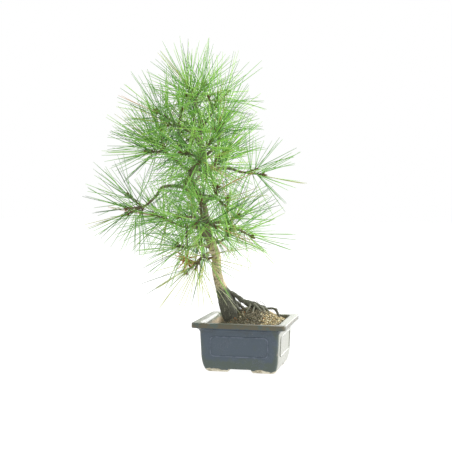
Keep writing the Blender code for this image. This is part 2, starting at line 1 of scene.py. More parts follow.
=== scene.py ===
"""The looks of a Japanese black pine bonsai in its glazed pot, made around the packed solids.

Everything is in metres, in the packed model's own frame. The tree has a front of its own, turned from the pot's
front, so its places are given as across (to the right of that front), deep (away from it) and up, in
millimetres from the pot's middle. Run as a script, it makes every piece in order, as the panel's buttons do.
"""

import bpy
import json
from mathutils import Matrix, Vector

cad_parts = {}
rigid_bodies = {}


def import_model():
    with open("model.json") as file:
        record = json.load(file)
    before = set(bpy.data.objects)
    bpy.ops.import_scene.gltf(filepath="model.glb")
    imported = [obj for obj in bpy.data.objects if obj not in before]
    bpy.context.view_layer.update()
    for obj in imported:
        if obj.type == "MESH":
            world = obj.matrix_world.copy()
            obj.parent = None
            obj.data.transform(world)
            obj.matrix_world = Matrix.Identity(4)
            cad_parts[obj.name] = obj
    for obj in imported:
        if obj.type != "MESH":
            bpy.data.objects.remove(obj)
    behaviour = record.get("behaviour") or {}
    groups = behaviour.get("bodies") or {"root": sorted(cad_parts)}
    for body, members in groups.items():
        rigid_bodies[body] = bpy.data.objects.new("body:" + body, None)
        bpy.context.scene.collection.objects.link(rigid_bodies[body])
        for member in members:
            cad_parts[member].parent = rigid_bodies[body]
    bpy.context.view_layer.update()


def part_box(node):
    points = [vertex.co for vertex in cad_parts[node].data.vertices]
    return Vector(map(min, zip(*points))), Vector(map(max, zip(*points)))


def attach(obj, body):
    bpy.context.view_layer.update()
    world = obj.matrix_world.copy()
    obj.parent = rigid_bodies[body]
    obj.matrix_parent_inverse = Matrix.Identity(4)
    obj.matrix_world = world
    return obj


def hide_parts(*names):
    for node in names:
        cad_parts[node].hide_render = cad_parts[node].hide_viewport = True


bl_info = {
    "name": "Potted black pine",
    "version": (1, 0, 0),
    "blender": (4, 5, 0),
    "location": "View3D > Sidebar > Pine",
    "description": "Makes the pot, soil, bark, twigs and needles of a small potted pine",
    "category": "Object",
}

import json
import math
import random
from functools import lru_cache

import bmesh
import bpy
import numpy as np
from bpy.props import FloatProperty, FloatVectorProperty, IntProperty, PointerProperty
from mathutils import Matrix, Vector, noise
from mathutils.bvhtree import BVHTree

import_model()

MM = 0.001
BODY = "root"
NOISE_ROUGHNESS = 0.55
SEEDS = {"plan": 11, "limbs": 5, "roots": 80, "cracks": 9, "twigs": 21, "needles": 17, "buds": 31,
         "husks": 41}
POT_LOW, POT_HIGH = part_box("pot")
POT_MIDDLE = Vector(((POT_LOW.x + POT_HIGH.x) / 2, (POT_LOW.y + POT_HIGH.y) / 2, 0))

# Pot
RIM_WIDTH = POT_HIGH.x - POT_LOW.x
RIM_DEPTH = POT_HIGH.y - POT_LOW.y
RIM_HEIGHT = POT_HIGH.z
RIM_CORNER = 8 * MM
LIP_DROP = 8 * MM
LIP_ROUND = 1.6 * MM
NECK_INSET = 12 * MM
NECK_HEIGHT = 66 * MM
FOOT_INSET = 24.4 * MM
BELLY_HEIGHT = 34 * MM
BELLY_INSET = 13.4 * MM
INNER_INSET = 18.5 * MM
MOUTH_INSET = 15 * MM
POT_FLOOR = 13 * MM
FOOT_HEIGHT = 6 * MM
FOOT_GAP_BELOW = 44 * MM
FOOT_GAP_ABOVE = 38 * MM
FRAME_LOW = 28 * MM
FRAME_HIGH = 61 * MM
FRAME_SIDE = 31 * MM
FRAME_CORNER = 7 * MM
CURVE_STEPS = 12
NECK_STEPS = 8
LIP_STEPS = 5
CORNER_POINTS = 8
SIDE_POINTS = 14
FRAME_POINTS = (10, 24)
FRAME_SIDES = 10
WAVE_SIZE = 38 * MM
SHARP_ANGLE = math.radians(50)

# Soil
SOIL_EDGE = 19.8 * MM
SOIL_LEFT = 65 * MM
SOIL_RIGHT = 80 * MM
MOUND_HEIGHT = 31 * MM
MOUND_PLACE = (8 * MM, 2 * MM)
MOUND_SPREAD = (45 * MM, 37 * MM)
SOIL_CELLS = 56
SOIL_FIELDS = ("crumbs", "grit", "pebbles", "pale_pebbles", "baked", "mossy")
DARK_HEAP = ((14 * MM, 4 * MM), (24 * MM, 22 * MM))
TRUNK_HEAP = ((-4 * MM, -16 * MM), (12 * MM, 14 * MM))
PALE_START = 18 * MM
PALE_RISE = 14 * MM
MOSS_PLACE = 14 * MM
MOSS_REACH = 22 * MM
GRAIN_CROWDING = 2.5
GRAIN_TILT = 0.9
GRAIN_SHARES = (0.55, 1.25)

# Tree
TREE_TURN = math.radians(13.65)
TRUNK_FOOT = 72 * MM
TRUNK_STEP = 13 * MM
LIMB_STEP = 11 * MM
FINE_STEP = 2.5 * MM
DARK_FOOT = 137 * MM
GAP = 0.3 * MM

# Foliage
SHOOT_LEAN = math.radians(54)
CORE_LENGTH = 25 * MM
CORE_RADIUS = 2.9 * MM
STEM_KNEE = 5 * MM
TWIG_RADIUS = 1.9 * MM
TWIG_STEP = 1.3 * MM
TWIG_ROUGHNESS = 0.13
STEM_RADII = (2.0 * MM, 1.3 * MM)
SIDE_RADII = (1.9 * MM, 1.8 * MM, 1.2 * MM)
SHOOT_SIDES = (0, math.pi, math.radians(-90))
FIRST_SHOOT = 0.3
SHOOT_SPAN = 0.6
SHOOT_JITTER = 0.12
SHOOT_ROOT = 8 * MM
TURN_TRIES = 6
TRY_TURN = 0.4
END_FULLNESS = 1.15
NEEDLE_WIDE = math.radians(86)
NEEDLE_NARROW = math.radians(14)
NEEDLE_JITTER = math.radians(7)
NEEDLE_CLEARANCE = 0.3 * MM
NEEDLE_CROWDING = 0.9
NEEDLE_SIDEWAYS = 0.09
NEEDLE_BEND = 0.07
NEEDLE_SAG = 0.05
LIFT_OF_BEND = 0.6
NEEDLE_LENGTHS = (0.86, 1.03)
NEEDLE_TAPER = np.array([0.9, 1.1, 1.15, 1.1, 1, 0.85, 0.5])
NEEDLE_PARTS = len(NEEDLE_TAPER) - 1
SHEATH_PLACES = (3 * MM, 7 * MM)
SHEATH_TAPER = np.array([1.15, 1.2, 0.85])
SHEATH_SWELL = 1.25
LOWEST_NEEDLE = 100 * MM
BUD_PLACES = (0, 0.18, 0.4, 0.62, 0.84, 1)
BUD_SWELL = np.array([0.6, 1.0, 1.12, 0.95, 0.6, 0.12])
BUD_LENGTHS = (7, 11)
BUD_RADII = (1.5, 2.1)
HUSKS = 34
HUSK_LENGTHS = (10, 26)
HUSK_RADII = (0.6, 1.1)
HUSK_TAPER = np.array([0.6, 1.1, 1.4, 1.3, 1.1, 0.8, 0.2])
BARK_THICKNESS = 0.6 * MM
FOOT_STRANDS = 26
FOOT_STRAND_POINTS = 16
FOOT_STRAND_TOPS = (112, 144)
FOOT_STRAND_TWISTS = (-0.5, 0.7)
FOOT_STRAND_RADII = (0.9, 2.1)
GOLDEN_ANGLE = math.radians(137.508)

# Stage
FLOOR_HALF = 6.0
LAMP_AIM = 0.25
SENSOR_WIDTH = 36

# Each lamp: the setting of its power, its place from where it aims, and its width, in metres.
LAMPS = {"light_right": ("side_light", (1.9, 0.5, 0.7), 1.2), "light_rear": ("rear_light", (0.5, 2.2, 0.6), 2.4)}

# Each trunk station is across, deep, up and radius, in millimetres.
TRUNK = [
    (-20, 0, 72, 11.6), (-27, 0, 90, 14.2), (-32, 0, 105, 14.2), (-38, 1, 122, 12.0), (-43, 1, 135, 9.6),
    (-48, 2, 149, 8.0), (-52, 3, 168, 7.6), (-53, 4, 192, 7.3), (-61, 2, 214, 7.0), (-68, 0, 234, 6.6),
    (-75, -3, 278, 5.8), (-87, -5, 305, 5.2), (-96, -5, 326, 4.7), (-88, -2, 345, 4.3), (-74, 2, 362, 3.9),
    (-80, 5, 392, 3.4), (-80, 5, 427, 2.8),
]
ROOT_RIBS = {
    "rib_front": [(-40, -5, 130, 6.0), (-32, -9, 112, 6.0), (-22, -12, 94, 5.6), (-16, -12, 72, 5.0)],
    "rib_right": [(-38, 3, 134, 6.0), (-27, 3, 118, 6.4), (-18, 2, 98, 5.4), (-13, 2, 72, 5.0)],
    "rib_back": [(-38, 8, 126, 5.5), (-30, 13, 104, 5.6), (-24, 14, 86, 5.0), (-20, 14, 72, 4.6)],
    "rib_left": [(-43, -2, 128, 6.4), (-41, -4, 108, 6.0), (-36, -4, 90, 5.4), (-27, -4, 72, 4.4)],
}
ROOTS = {
    "root_arch": [(-38, 0, 135, 3.6), (-19, -2, 124, 3.6), (-5, -4, 114, 4.4), (10, -5, 109, 5.2),
                  (25, -4, 103, 5.2), (33, -2, 97, 4.4), (37, -1, 86, 3.4)],
    "root_fork": [(-35, 4, 128, 3.6), (-21, 9, 114, 3.0), (-8, 15, 102, 2.8), (4, 19, 90, 2.6)],
    "root_strand": [(-27, -8, 108, 2.0), (-18, -9, 101, 1.6), (-9, -10, 100, 1.4), (-1, -10, 97, 1.6)],
    "root_knee": [(27, -4, 100, 2.4), (37, -5, 102, 1.8), (48, -6, 101, 2.3), (53, -6, 94, 2.1), (58, -6, 80, 1.6)],
}
ROOTLETS = [
    [(-26, -10, 114, 1.1), (-18, -12, 108, 0.8), (-11, -11, 100, 0.7), (-6, -10, 94, 0.6)],
    [(-22, -6, 110, 0.9), (-14, -5, 106, 0.7), (-10, -6, 98, 0.8), (-9, -6, 92, 0.6)],
    [(-12, -3, 117, 0.8), (-10, -7, 108, 0.6), (-4, -9, 101, 0.7), (-2, -9, 95, 0.6)],
    [(4, -8, 108, 1.0), (7, -12, 101, 0.8), (8, -15, 94, 0.7)],
    [(18, -7, 103, 1.2), (22, -11, 97, 0.9), (27, -14, 89, 0.8)],
    [(12, -2, 106, 1.1), (14, 6, 100, 0.9), (15, 12, 93, 0.7)],
    [(12, -6, 109, 0.45), (18, -7, 115, 0.4), (26, -7, 113, 0.4), (32, -6, 106, 0.35), (35, -5, 98, 0.35)],
    [(-24, 12, 104, 1.2), (-14, 18, 97, 0.9), (-6, 24, 88, 0.7)],
    [(12, -8, 110, 2.6), (18, -13, 105, 2.2), (24, -18, 99, 1.6)],
    [(22, -8, 107, 2.4), (28, -13, 102, 2.0), (31, -18, 95, 1.4)],
    [(29, -5, 104, 2.2), (36, -10, 99, 1.8), (40, -15, 92, 1.2)],
    [(6, -8, 110, 2.2), (3, -14, 104, 1.8), (-2, -19, 97, 1.2)],
    [(17, -7, 108, 2.0), (12, -14, 104, 1.8), (9, -21, 97, 1.2)],
]

# Swellings of the bark, as the height on the trunk or the place among the roots, and the radius.
TRUNK_KNOTS = ((424, 5.4), (357, 6.0), (300, 6.6), (243, 7.4), (205, 8.2))
ROOT_KNOTS = (((2, -4, 110), 5.2), ((26, -4, 101), 6.0), ((33, -3, 94), 4.8), ((50, -6, 100), 3.0))

# Pale needles that have fallen across the trunk's foot, as places in the tree's front view.
FALLEN_NEEDLES = [
    [(-54, -13, 143), (-46, -16, 136), (-36, -18, 128), (-25, -17, 118)],
    [(-42, -17, 133), (-32, -19, 121), (-22, -18, 108), (-13, -18, 96)],
    [(-52, -14, 137), (-45, -17, 128), (-39, -19, 118), (-34, -20, 109)],
]
FALLEN_RADIUS = 0.32
DEAD_TUFT = (-103, -18, 189)

# Each bough: the height on the trunk where it starts, its radius there, and its stations from there to its tip.
BOUGHS = {
    "bough_foot_left": (205, 3.2, [(-80, -6, 212, 2.7), (-98, -8, 208, 2.0)]),
    "bough_foot_front": (196, 3.0, [(-62, -16, 199, 2.5), (-72, -25, 196, 2.0)]),
    "bough_foot_right": (212, 3.1, [(-50, 6, 216, 2.6), (-44, 8, 218, 2.2)]),
    "bough_low_left": (235, 3.5, [(-88, -8, 242, 3.0), (-104, -12, 243, 2.3)]),
    "bough_low_right": (242, 3.4, [(-52, -6, 250, 2.8), (-40, -8, 250, 2.3)]),
    "bough_back_low": (228, 3.5, [(-66, 20, 242, 2.9), (-68, 38, 252, 2.3)]),
    "bough_front_low": (262, 3.2, [(-72, -20, 264, 2.7), (-74, -32, 263, 2.2)]),
    "bough_centre_right": (280, 3.3, [(-66, -18, 290, 2.8), (-56, -28, 292, 2.3)]),
    "bough_left_low": (298, 3.7, [(-112, -12, 311, 3.1), (-142, -18, 311, 2.7), (-153, -21, 297, 2.4),
                                  (-166, -24, 284, 2.1)]),
    "bough_back_mid": (312, 3.3, [(-88, 16, 322, 2.7), (-84, 34, 328, 2.2)]),
    "bough_left_mid": (335, 3.2, [(-110, 6, 346, 2.8), (-124, 12, 358, 2.2)]),
    "bough_right_far": (340, 3.3, [(-64, 4, 341, 2.9), (-34, 8, 343, 2.6), (-14, 10, 338, 2.2)]),
    "bough_front_high": (352, 2.9, [(-80, -20, 362, 2.5), (-82, -30, 366, 2.0)]),
    "bough_right_mid": (362, 3.0, [(-62, -4, 372, 2.6), (-52, -10, 380, 2.1)]),
    "bough_back_high": (378, 2.9, [(-86, 22, 388, 2.4), (-88, 32, 394, 1.9)]),
    "bough_left_high": (388, 3.0, [(-94, -6, 402, 2.7), (-112, -12, 413, 2.2)]),
    "bough_right_high": (408, 2.6, [(-68, -1, 425, 2.2), (-61, -4, 434, 1.9)]),
}

# Each mass: where its stem starts, the stem's end, its number of side shoots, their length in millimetres, the
# roll of the first one about the stem, how far its needles lift, and how thickly it bears them.
MASSES = {
    "apex": ("trunk", (-104, 8, 488), 3, 32, 90, 0.0, 0.95),
    "high_right": ("bough_right_high", (-50, -16, 465), 2, 46, 120, -0.1, 0.5),
    "high_left": ("bough_left_high", (-130, -36, 415), 3, 44, 45, 0.15, 0.85),
    "high_back": ("bough_back_high", (-100, 68, 414), 4, 46, 180, 0.0, 1.1),
    "mid_left": ("bough_left_mid", (-170, 16, 392), 3, 36, 60, 0.15, 1.1),
    "mid_right": ("bough_right_mid", (-46, -30, 424), 2, 46, 90, 0.12, 0.75),
    "mid_front": ("bough_front_high", (-80, -76, 350), 3, 46, 150, 0.15, 1.1),
    "far_right": ("bough_right_far", (27, 0, 332), 1, 46, 75, 0.12, 0.5),
    "centre_right": ("bough_centre_right", (-50, -52, 310), 3, 44, 195, -0.1, 0.7),
    "centre_back": ("bough_back_mid", (-45, 86, 356), 4, 46, 45, 0.15, 1.05),
    "low_left": ("bough_left_low", (-202, -20, 266), 3, 34, 105, 0.12, 0.5),
    "low_front": ("bough_front_low", (-84, -76, 252), 3, 46, 75, 0.03, 0.6),
    "low_back": ("bough_back_low", (-90, 70, 246), 3, 42, 180, -0.12, 1.3),
    "under_left": ("bough_low_left", (-160, -8, 264), 1, 34, 90, -0.06, 1.0),
    "under_right": ("bough_low_right", (-16, -20, 262), 2, 46, 20, 0.1, 0.7),
    "foot_left": ("bough_foot_left", (-118, -28, 212), 1, 46, 330, 0.0, 1.1),
    "foot_right": ("bough_foot_right", (-25, 6, 240), 1, 38, 90, -0.12, 0.95),
    "foot_front": ("bough_foot_front", (-86, -48, 176), 2, 34, 300, -0.1, 0.5),
}

# The share of each tint among a mass's sprays. The last row is for every mass that isn't named.
TINTS = ("fresh", "bright", "middle", "deep", "yellow", "dry")
TINT_SHARES = {
    "apex": (0.34, 0.36, 0.20, 0.08, 0.02, 0.00),
    "high_right": (0.36, 0.36, 0.16, 0.08, 0.04, 0.00),
    "low_left": (0.12, 0.34, 0.34, 0.18, 0.01, 0.01),
    "foot_front": (0.16, 0.16, 0.10, 0.04, 0.50, 0.04),
    "foot_left": (0.14, 0.34, 0.30, 0.16, 0.04, 0.02),
    "under_right": (0.26, 0.32, 0.22, 0.10, 0.08, 0.02),
    "other": (0.22, 0.34, 0.26, 0.14, 0.03, 0.01),
}


def tint(red, green, blue):
    """A colour as a screen shows it, from 0 to 255, turned into the linear values that shaders take."""
    return tuple((c / 255 / 12.92) if c <= 10 else ((c / 255 + 0.055) / 1.055) ** 2.4 for c in (red, green, blue))


def shaded(colour, share):
    """The colour made darker, or lighter where share is more than 1."""
    return tuple(c * share for c in colour)


def colour_property(name, description, default):
    return FloatVectorProperty(name=name, description=description, subtype="COLOR", size=3, min=0, max=1,
                               default=default)


def length_property(name, description, default):
    return FloatProperty(name=name, description=description, subtype="DISTANCE", unit="LENGTH", min=0,
                         default=default)


def angle_property(name, description, degrees):
    return FloatProperty(name=name, description=description, subtype="ANGLE", unit="ROTATION",
                         default=math.radians(degrees))


def power_property(name, description, default):
    return FloatProperty(name=name, description=description, subtype="POWER", unit="POWER", min=0, default=default)


class PinePot(bpy.types.PropertyGroup):
    """Sizes and colours of the pot"""

    bead: length_property("Bead radius", "Radius of the raised line that frames each panel", 1.3 * MM)
    waviness: length_property("Waviness", "How far the thrown clay wanders from flat", 0.35 * MM)
    glaze: colour_property("Glaze", "Blue-grey glaze of the walls", tint(77, 88, 98))
    glaze_low: colour_property("Pooled glaze", "Greener glaze low down and near the corners", tint(80, 90, 84))
    glaze_dark: colour_property("Thick glaze", "Dark glaze under the lip and in runs", tint(66, 72, 77))
    # Colour of the darker band just under the lip and of the darker runs.
    glaze_thin: colour_property("Thin glaze", "Olive glaze where it breaks over the lip", tint(92, 88, 72))
    glaze_bead: colour_property("Bead glaze", "Paler glaze on the raised lines", tint(98, 107, 120))
    # This pale also paints light on the inner left wall.
    pale_rim_and_painted_light: colour_property("Rim glaze", "Pale glaze on the flat of the rim", tint(120, 124, 108))
    # Cream of the two ends: partly a paler glaze, partly painted light standing in for the strong lamp on the right.
    end_glaze_and_painted_light: colour_property("Side glaze", "Cream glaze of the two ends", tint(142, 143, 132))
    clay: colour_property("Clay", "Bare clay of the feet", tint(224, 217, 196))
    inside: colour_property("Inside", "Pinkish clay of the inner walls", tint(184, 168, 142))


class PineSoil(bpy.types.PropertyGroup):
    """Sizes and colours of the soil"""

    crumb: length_property("Crumb size", "Size of the dark crumbs", 2.0 * MM)
    pebble: length_property("Pebble size", "Size of the pale pebbles", 3.4 * MM)
    crumb_colour: colour_property("Crumbs", "Dark crumbs of soil", tint(108, 103, 84))
    brown_colour: colour_property("Brown crumbs", "Middle brown grit", tint(174, 162, 134))
    grey_colour: colour_property("Grey grit", "Pale grey grit among the crumbs", tint(178, 174, 156))
    pebble_colour: colour_property("Pebbles", "Tan pebbles", tint(198, 176, 126))
    pale_colour: colour_property("Pale pebbles", "Cream and yellow pebbles", tint(242, 232, 196))
    orange_colour: colour_property("Baked clay", "Orange grains of baked clay", tint(184, 120, 76))
    moss_colour: colour_property("Moss", "Green moss among the grains", tint(74, 96, 38))


class PineBark(bpy.types.PropertyGroup):
    """Sizes and colours of the bark"""

    grain: length_property("Mesh size", "Size of the faces that carry the relief", 0.85 * MM)
    relief: length_property("Relief", "How far the bark's plates stand out", 0.45 * MM)
    pale: colour_property("Bark", "Tan bark of the bare lower trunk", tint(208, 192, 156))
    speck: colour_property("Bark marks", "Dark marks and cracks in the bark", tint(76, 74, 58))
    root: colour_property("Roots", "Dark bark of the bare roots", tint(94, 94, 82))
    moss: colour_property("Root moss", "Green moss on the roots", tint(64, 84, 48))


class PineNeedles(bpy.types.PropertyGroup):
    """Sizes and colours of the needles"""

    length: length_property("Needle length", "Length of the longest needles", 84 * MM)
    radius: length_property("Needle radius", "Half the width of one needle", 0.47 * MM)
    pairs: IntProperty(name="Pairs", description="Pairs of needles on one shoot", min=1, default=21)
    spread: angle_property("Spread", "Angle between the two needles of a pair", 9)
    fresh: colour_property("Fresh", "This year's palest green", tint(168, 218, 100))
    bright: colour_property("Bright", "Bright green", tint(134, 194, 76))
    middle: colour_property("Middle", "Middle green", tint(108, 166, 68))
    deep: colour_property("Deep", "Deep green of older needles", tint(76, 118, 58))
    yellow: colour_property("Yellow", "Yellow-green of the weak low shoots", tint(182, 190, 98))
    dry: colour_property("Dry", "Dead needles", tint(196, 158, 104))
    sheath: colour_property("Sheath", "Brown sheath at the foot of each pair", tint(96, 84, 58))
    bud: colour_property("Bud", "Brown buds at the shoots' tips", tint(136, 108, 70))


class PineStage(bpy.types.PropertyGroup):
    """Camera, light and floor"""

    camera: FloatVectorProperty(name="Camera", description="Camera's place from the foot of the pot's middle",
                                subtype="TRANSLATION", unit="LENGTH", size=3, default=(0.330, -1.511, 0.314))
    yaw: angle_property("Yaw", "How far the camera turns to the left", 13.65)
    pitch: angle_property("Pitch", "How far the camera looks down", 2.6)
    lens: FloatProperty(name="Lens", description="Focal length in millimetres", subtype="DISTANCE_CAMERA",
                        default=71.68)
    sky: FloatProperty(name="Room light", description="Brightness of the white room", min=0, default=1.0)
    glow: FloatProperty(name="Floor glow", description="Brightness of the lit table", min=0, default=0.98)
    side_light: power_property("Side light", "Power of the lamp on the right", 50)
    rear_light: power_property("Rear light", "Power of the backdrop's lamp", 75)
    floor: colour_property("Floor", "Pale floor", (0.05, 0.05, 0.05))


SETTINGS = {"pine_pot": PinePot, "pine_soil": PineSoil, "pine_bark": PineBark, "pine_needles": PineNeedles,
            "pine_stage": PineStage}


# Node trees


class Graph:
    """A node tree in the making."""

    def __init__(self, tree):
        self.tree = tree

    def add(self, kind, settings=None, values=None):
        """A node of this type: its settings are set first, then its sockets, by name or number."""
        node = self.tree.nodes.new(kind)
        for name, value in (settings or {}).items():
            setattr(node, name, value)
        for name, value in (values or {}).items():
            self.feed(node.inputs[name] if isinstance(name, int) else open_socket(node.inputs, name), value)
        return node

    def feed(self, socket, value):
        """Links the socket to another one or to a Value, or sets it to a plain value."""
        value = getattr(value, "socket", value)
        if isinstance(value, bpy.types.NodeSocket):
            self.tree.links.new(value, socket)
        else:
            socket.default_value = (*value, 1) if socket.type == "RGBA" and len(value) == 3 else value


def open_socket(sockets, name=None):
    """The first socket in use, or the first one with this name."""
    return next(s for s in sockets if s.enabled and name in (None, s.name))


class Value:
    """A number that varies over a surface. Arithmetic on it adds the Math nodes that work it out."""

    def __init__(self, graph, socket):
        self.graph = graph
        self.socket = socket

    def math(self, operation, *inputs):
        node = self.graph.add("ShaderNodeMath", {"operation": operation}, dict(enumerate(inputs)))
        return Value(self.graph, node.outputs[0])

    def __add__(self, other):
        return self.math("ADD", self, other)

    def __sub__(self, other):
        return self.math("SUBTRACT", self, other)

    def __rsub__(self, other):
        return self.math("SUBTRACT", other, self)

    def __mul__(self, other):
        return self.math("MULTIPLY", self, other)

    def __truediv__(self, other):
        return self.math("DIVIDE", self, other)

    __radd__ = __add__
    __rmul__ = __mul__

    def size(self):
        return self.math("ABSOLUTE", self)

    def ramp(self, low, high):
        """Rises smoothly from 0 at low to 1 at high, or falls where low is the greater."""
        node = self.graph.add("ShaderNodeMapRange", {"interpolation_type": "SMOOTHSTEP"},
                              {"Value": self, "From Min": low, "From Max": high})
        return Value(self.graph, node.outputs[0])


class Shader(Graph):
    """A material in the making, around one Principled shader, whose patterns lie in the object's own space."""

    def __init__(self, name):
        self.material = bpy.data.materials.new(name)
        self.material.use_nodes = True
        super().__init__(self.material.node_tree)
        self.principled = self.tree.nodes["Principled BSDF"]
        self.place = self.add("ShaderNodeTexCoord").outputs["Object"]
        axes = self.add("ShaderNodeSeparateXYZ", values={"Vector": self.place})
        self.x, self.y, self.z = (Value(self, s) for s in axes.outputs)

    def noise(self, size, detail=3, stretch=None):
        """Soft noise whose blobs are about this size. Stretch makes them longer along an axis."""
        node = self.add("ShaderNodeTexNoise", values={"Vector": self.stretched(stretch), "Scale": 1 / size,
                                                      "Detail": detail, "Roughness": NOISE_ROUGHNESS})
        return Value(self, node.outputs[0])

    def cells(self, size, stretch=None):
        """Distance in a field of cells of about this size."""
        node = self.add("ShaderNodeTexVoronoi", values={"Vector": self.stretched(stretch), "Scale": 1 / size})
        return Value(self, node.outputs[0])

    def stretched(self, stretch):
        if not stretch:
            return self.place
        scale = tuple(1 / s for s in stretch)
        return self.add("ShaderNodeMapping", values={"Vector": self.place, "Scale": scale}).outputs[0]

    def attribute(self, name):
        return Value(self, self.add("ShaderNodeAttribute", {"attribute_name": name}).outputs["Fac"])

    def mix(self, first, second, share):
        """The colour that lies this share of the way from first to second."""
        node = self.add("ShaderNodeMix", {"data_type": "RGBA"}, {"Factor": share, "A": first, "B": second})
        return open_socket(node.outputs)

    def finish(self, colour, roughness, relief=None, depth=0.2 * MM, **uniform):
        """Feeds the shader, and returns the material. Relief is a height from 0 to 1 that is depth metres deep."""
        for name, value in {"Base Color": colour, "Roughness": roughness, **uniform}.items():
            self.feed(self.principled.inputs[name.replace("_", " ")], value)
        if relief:
            bump = self.add("ShaderNodeBump", values={"Height": relief, "Distance": depth})
            self.tree.links.new(bump.outputs[0], self.principled.inputs["Normal"])
        return self.material


def two_toned(name, first, second, patches, edges, roughness, relief=False, **uniform):
    """A material that wanders between two colours, in noise of this size and detail, shared out at the edges."""
    shader = Shader(name)
    patch = shader.noise(*patches)
    colour = shader.mix(first, second, patch.ramp(*edges))
    return shader.finish(colour, roughness, patch if relief else None, **uniform)


def geometry_tree(name, inputs):
    """An empty geometry tree with these inputs, as (name, socket type, default), and its graph and input node."""
    tree = bpy.data.node_groups.new(name, "GeometryNodeTree")
    tree.interface.new_socket(name="Geometry", in_out="INPUT", socket_type="NodeSocketGeometry")
    for label, kind, default in inputs:
        socket = tree.interface.new_socket(name=label, in_out="INPUT", socket_type=kind)
        if default is not None:
            socket.default_value = default
    tree.interface.new_socket(name="Geometry", in_out="OUTPUT", socket_type="NodeSocketGeometry")
    graph = Graph(tree)
    return graph, graph.add("NodeGroupInput").outputs


def end_tree(graph, shape, material):
    """Ends a geometry tree in real faces with their material."""
    real = graph.add("GeometryNodeRealizeInstances", values={"Geometry": shape})
    painted = graph.add("GeometryNodeSetMaterial", values={"Geometry": real.outputs[0], "Material": material})
    graph.add("NodeGroupOutput", values={"Geometry": painted.outputs[0]})
    return graph.tree


@lru_cache(maxsize=None)
def strand_tree():
    """Turns each chain of edges into a closed tube whose radius is the thickness at each point."""
    graph, given = geometry_tree("Strands", [("Sides", "NodeSocketInt", 4), ("Material", "NodeSocketMaterial", None)])
    lines = graph.add("GeometryNodeMeshToCurve", values={"Mesh": given["Geometry"]})
    ring = graph.add("GeometryNodeCurvePrimitiveCircle", values={"Resolution": given["Sides"], "Radius": 1.0})
    thickness = graph.add("GeometryNodeInputNamedAttribute", {"data_type": "FLOAT"}, {"Name": "thickness"})
    tubes = graph.add("GeometryNodeCurveToMesh", values={
        "Curve": lines.outputs[0], "Profile Curve": ring.outputs[0], "Scale": open_socket(thickness.outputs),
        "Fill Caps": True})
    return end_tree(graph, tubes.outputs[0], given["Material"])


@lru_cache(maxsize=None)
def scatter_tree():
    """Lays grains on a surface, each turned and sized at random, thicker where the named attribute is higher."""
    graph, given = geometry_tree("Scatter", [
        ("Grains", "NodeSocketCollection", None), ("Apart", "NodeSocketFloat", 2 * MM),
        ("Size", "NodeSocketFloat", 2 * MM), ("Where", "NodeSocketString", "crumbs"),
        ("Seed", "NodeSocketInt", 1), ("Material", "NodeSocketMaterial", None)])
    where = graph.add("GeometryNodeInputNamedAttribute", {"data_type": "FLOAT"}, {"Name": given["Where"]})
    area = graph.add("ShaderNodeMath", {"operation": "MULTIPLY"}, {0: given["Apart"], 1: given["Apart"]})
    most = graph.add("ShaderNodeMath", {"operation": "DIVIDE"}, {0: GRAIN_CROWDING, 1: area.outputs[0]})
    spots = graph.add("GeometryNodeDistributePointsOnFaces", {"distribute_method": "POISSON"}, {
        "Mesh": given["Geometry"], "Distance Min": given["Apart"], "Density Max": most.outputs[0],
        "Density Factor": open_socket(where.outputs), "Seed": given["Seed"]})
    kinds = graph.add("GeometryNodeCollectionInfo", values={
        "Collection": given["Grains"], "Separate Children": True, "Reset Children": True})
    turn = graph.add("FunctionNodeRandomValue", {"data_type": "FLOAT_VECTOR"}, {
        "Min": (0, 0, 0), "Max": (GRAIN_TILT, GRAIN_TILT, math.tau), "Seed": given["Seed"]})
    share = graph.add("FunctionNodeRandomValue", {"data_type": "FLOAT"},
                      {"Min": GRAIN_SHARES[0], "Max": GRAIN_SHARES[1], "Seed": given["Seed"]})
    size = graph.add("ShaderNodeMath", {"operation": "MULTIPLY"},
                     {0: open_socket(share.outputs), 1: given["Size"]})
    grains = graph.add("GeometryNodeInstanceOnPoints", values={
        "Points": spots.outputs[0], "Instance": kinds.outputs[0], "Pick Instance": True,
        "Rotation": open_socket(turn.outputs), "Scale": size.outputs[0]})
    return end_tree(graph, grains.outputs[0], given["Material"])


def run_tree(thing, tree, values):
    """Runs a geometry tree on the object, and leaves it with the plain mesh that comes out."""
    modifier = thing.modifiers.new(tree.name, "NODES")
    modifier.node_group = tree
    for item in tree.interface.items_tree:
        if item.in_out == "INPUT" and item.name in values:
            modifier[item.identifier] = values[item.name]
    settle(thing)


def settle(thing):
    """Replaces the object's mesh by its evaluated one, and removes the modifiers."""
    evaluated = thing.evaluated_get(bpy.context.evaluated_depsgraph_get())
    made = bpy.data.meshes.new_from_object(evaluated)
    old = thing.data
    thing.modifiers.clear()
    thing.data = made
    made.name = thing.name
    bpy.data.meshes.remove(old)


# Meshes


def linked(name, data):
    """A new object with this data, in the scene."""
    made = bpy.data.objects.new(name, data)
    bpy.context.scene.collection.objects.link(made)
    return made


def new_object(name, points, faces, material=None):
    mesh = bpy.data.meshes.new(name)
    mesh.from_pydata([tuple(p) for p in points], (), faces)
    mesh.validate()
    if material:
        mesh.materials.append(material)
    return linked(name, mesh)


def remove(thing):
    mesh = thing.data
    bpy.data.objects.remove(thing)
    bpy.data.meshes.remove(mesh)


def vectors_of(items, name):
    found = np.empty(len(items) * 3, np.float32)
    items.foreach_get(name, found)
    return found.reshape(-1, 3).astype(float)


def points_of(mesh):
    return vectors_of(mesh.vertices, "co")


def normals_of(mesh):
    return vectors_of(mesh.vertex_normals, "vector")


def set_points(mesh, points):
    mesh.vertices.foreach_set("co", np.asarray(points, np.float32).ravel())
    mesh.update()


def set_attribute(mesh, name, values):
    attribute = mesh.attributes.new(name, "FLOAT", "POINT")
    attribute.data.foreach_set("value", np.asarray(values, np.float32))


def merged(shapes):
    """The points and the faces of several shapes, as one."""
    points, faces = [], []
    for more_points, more_faces in shapes:
        start = len(points)
        points.extend(more_points)
        faces.extend(tuple(start + i for i in face) for face in more_faces)
    return points, faces


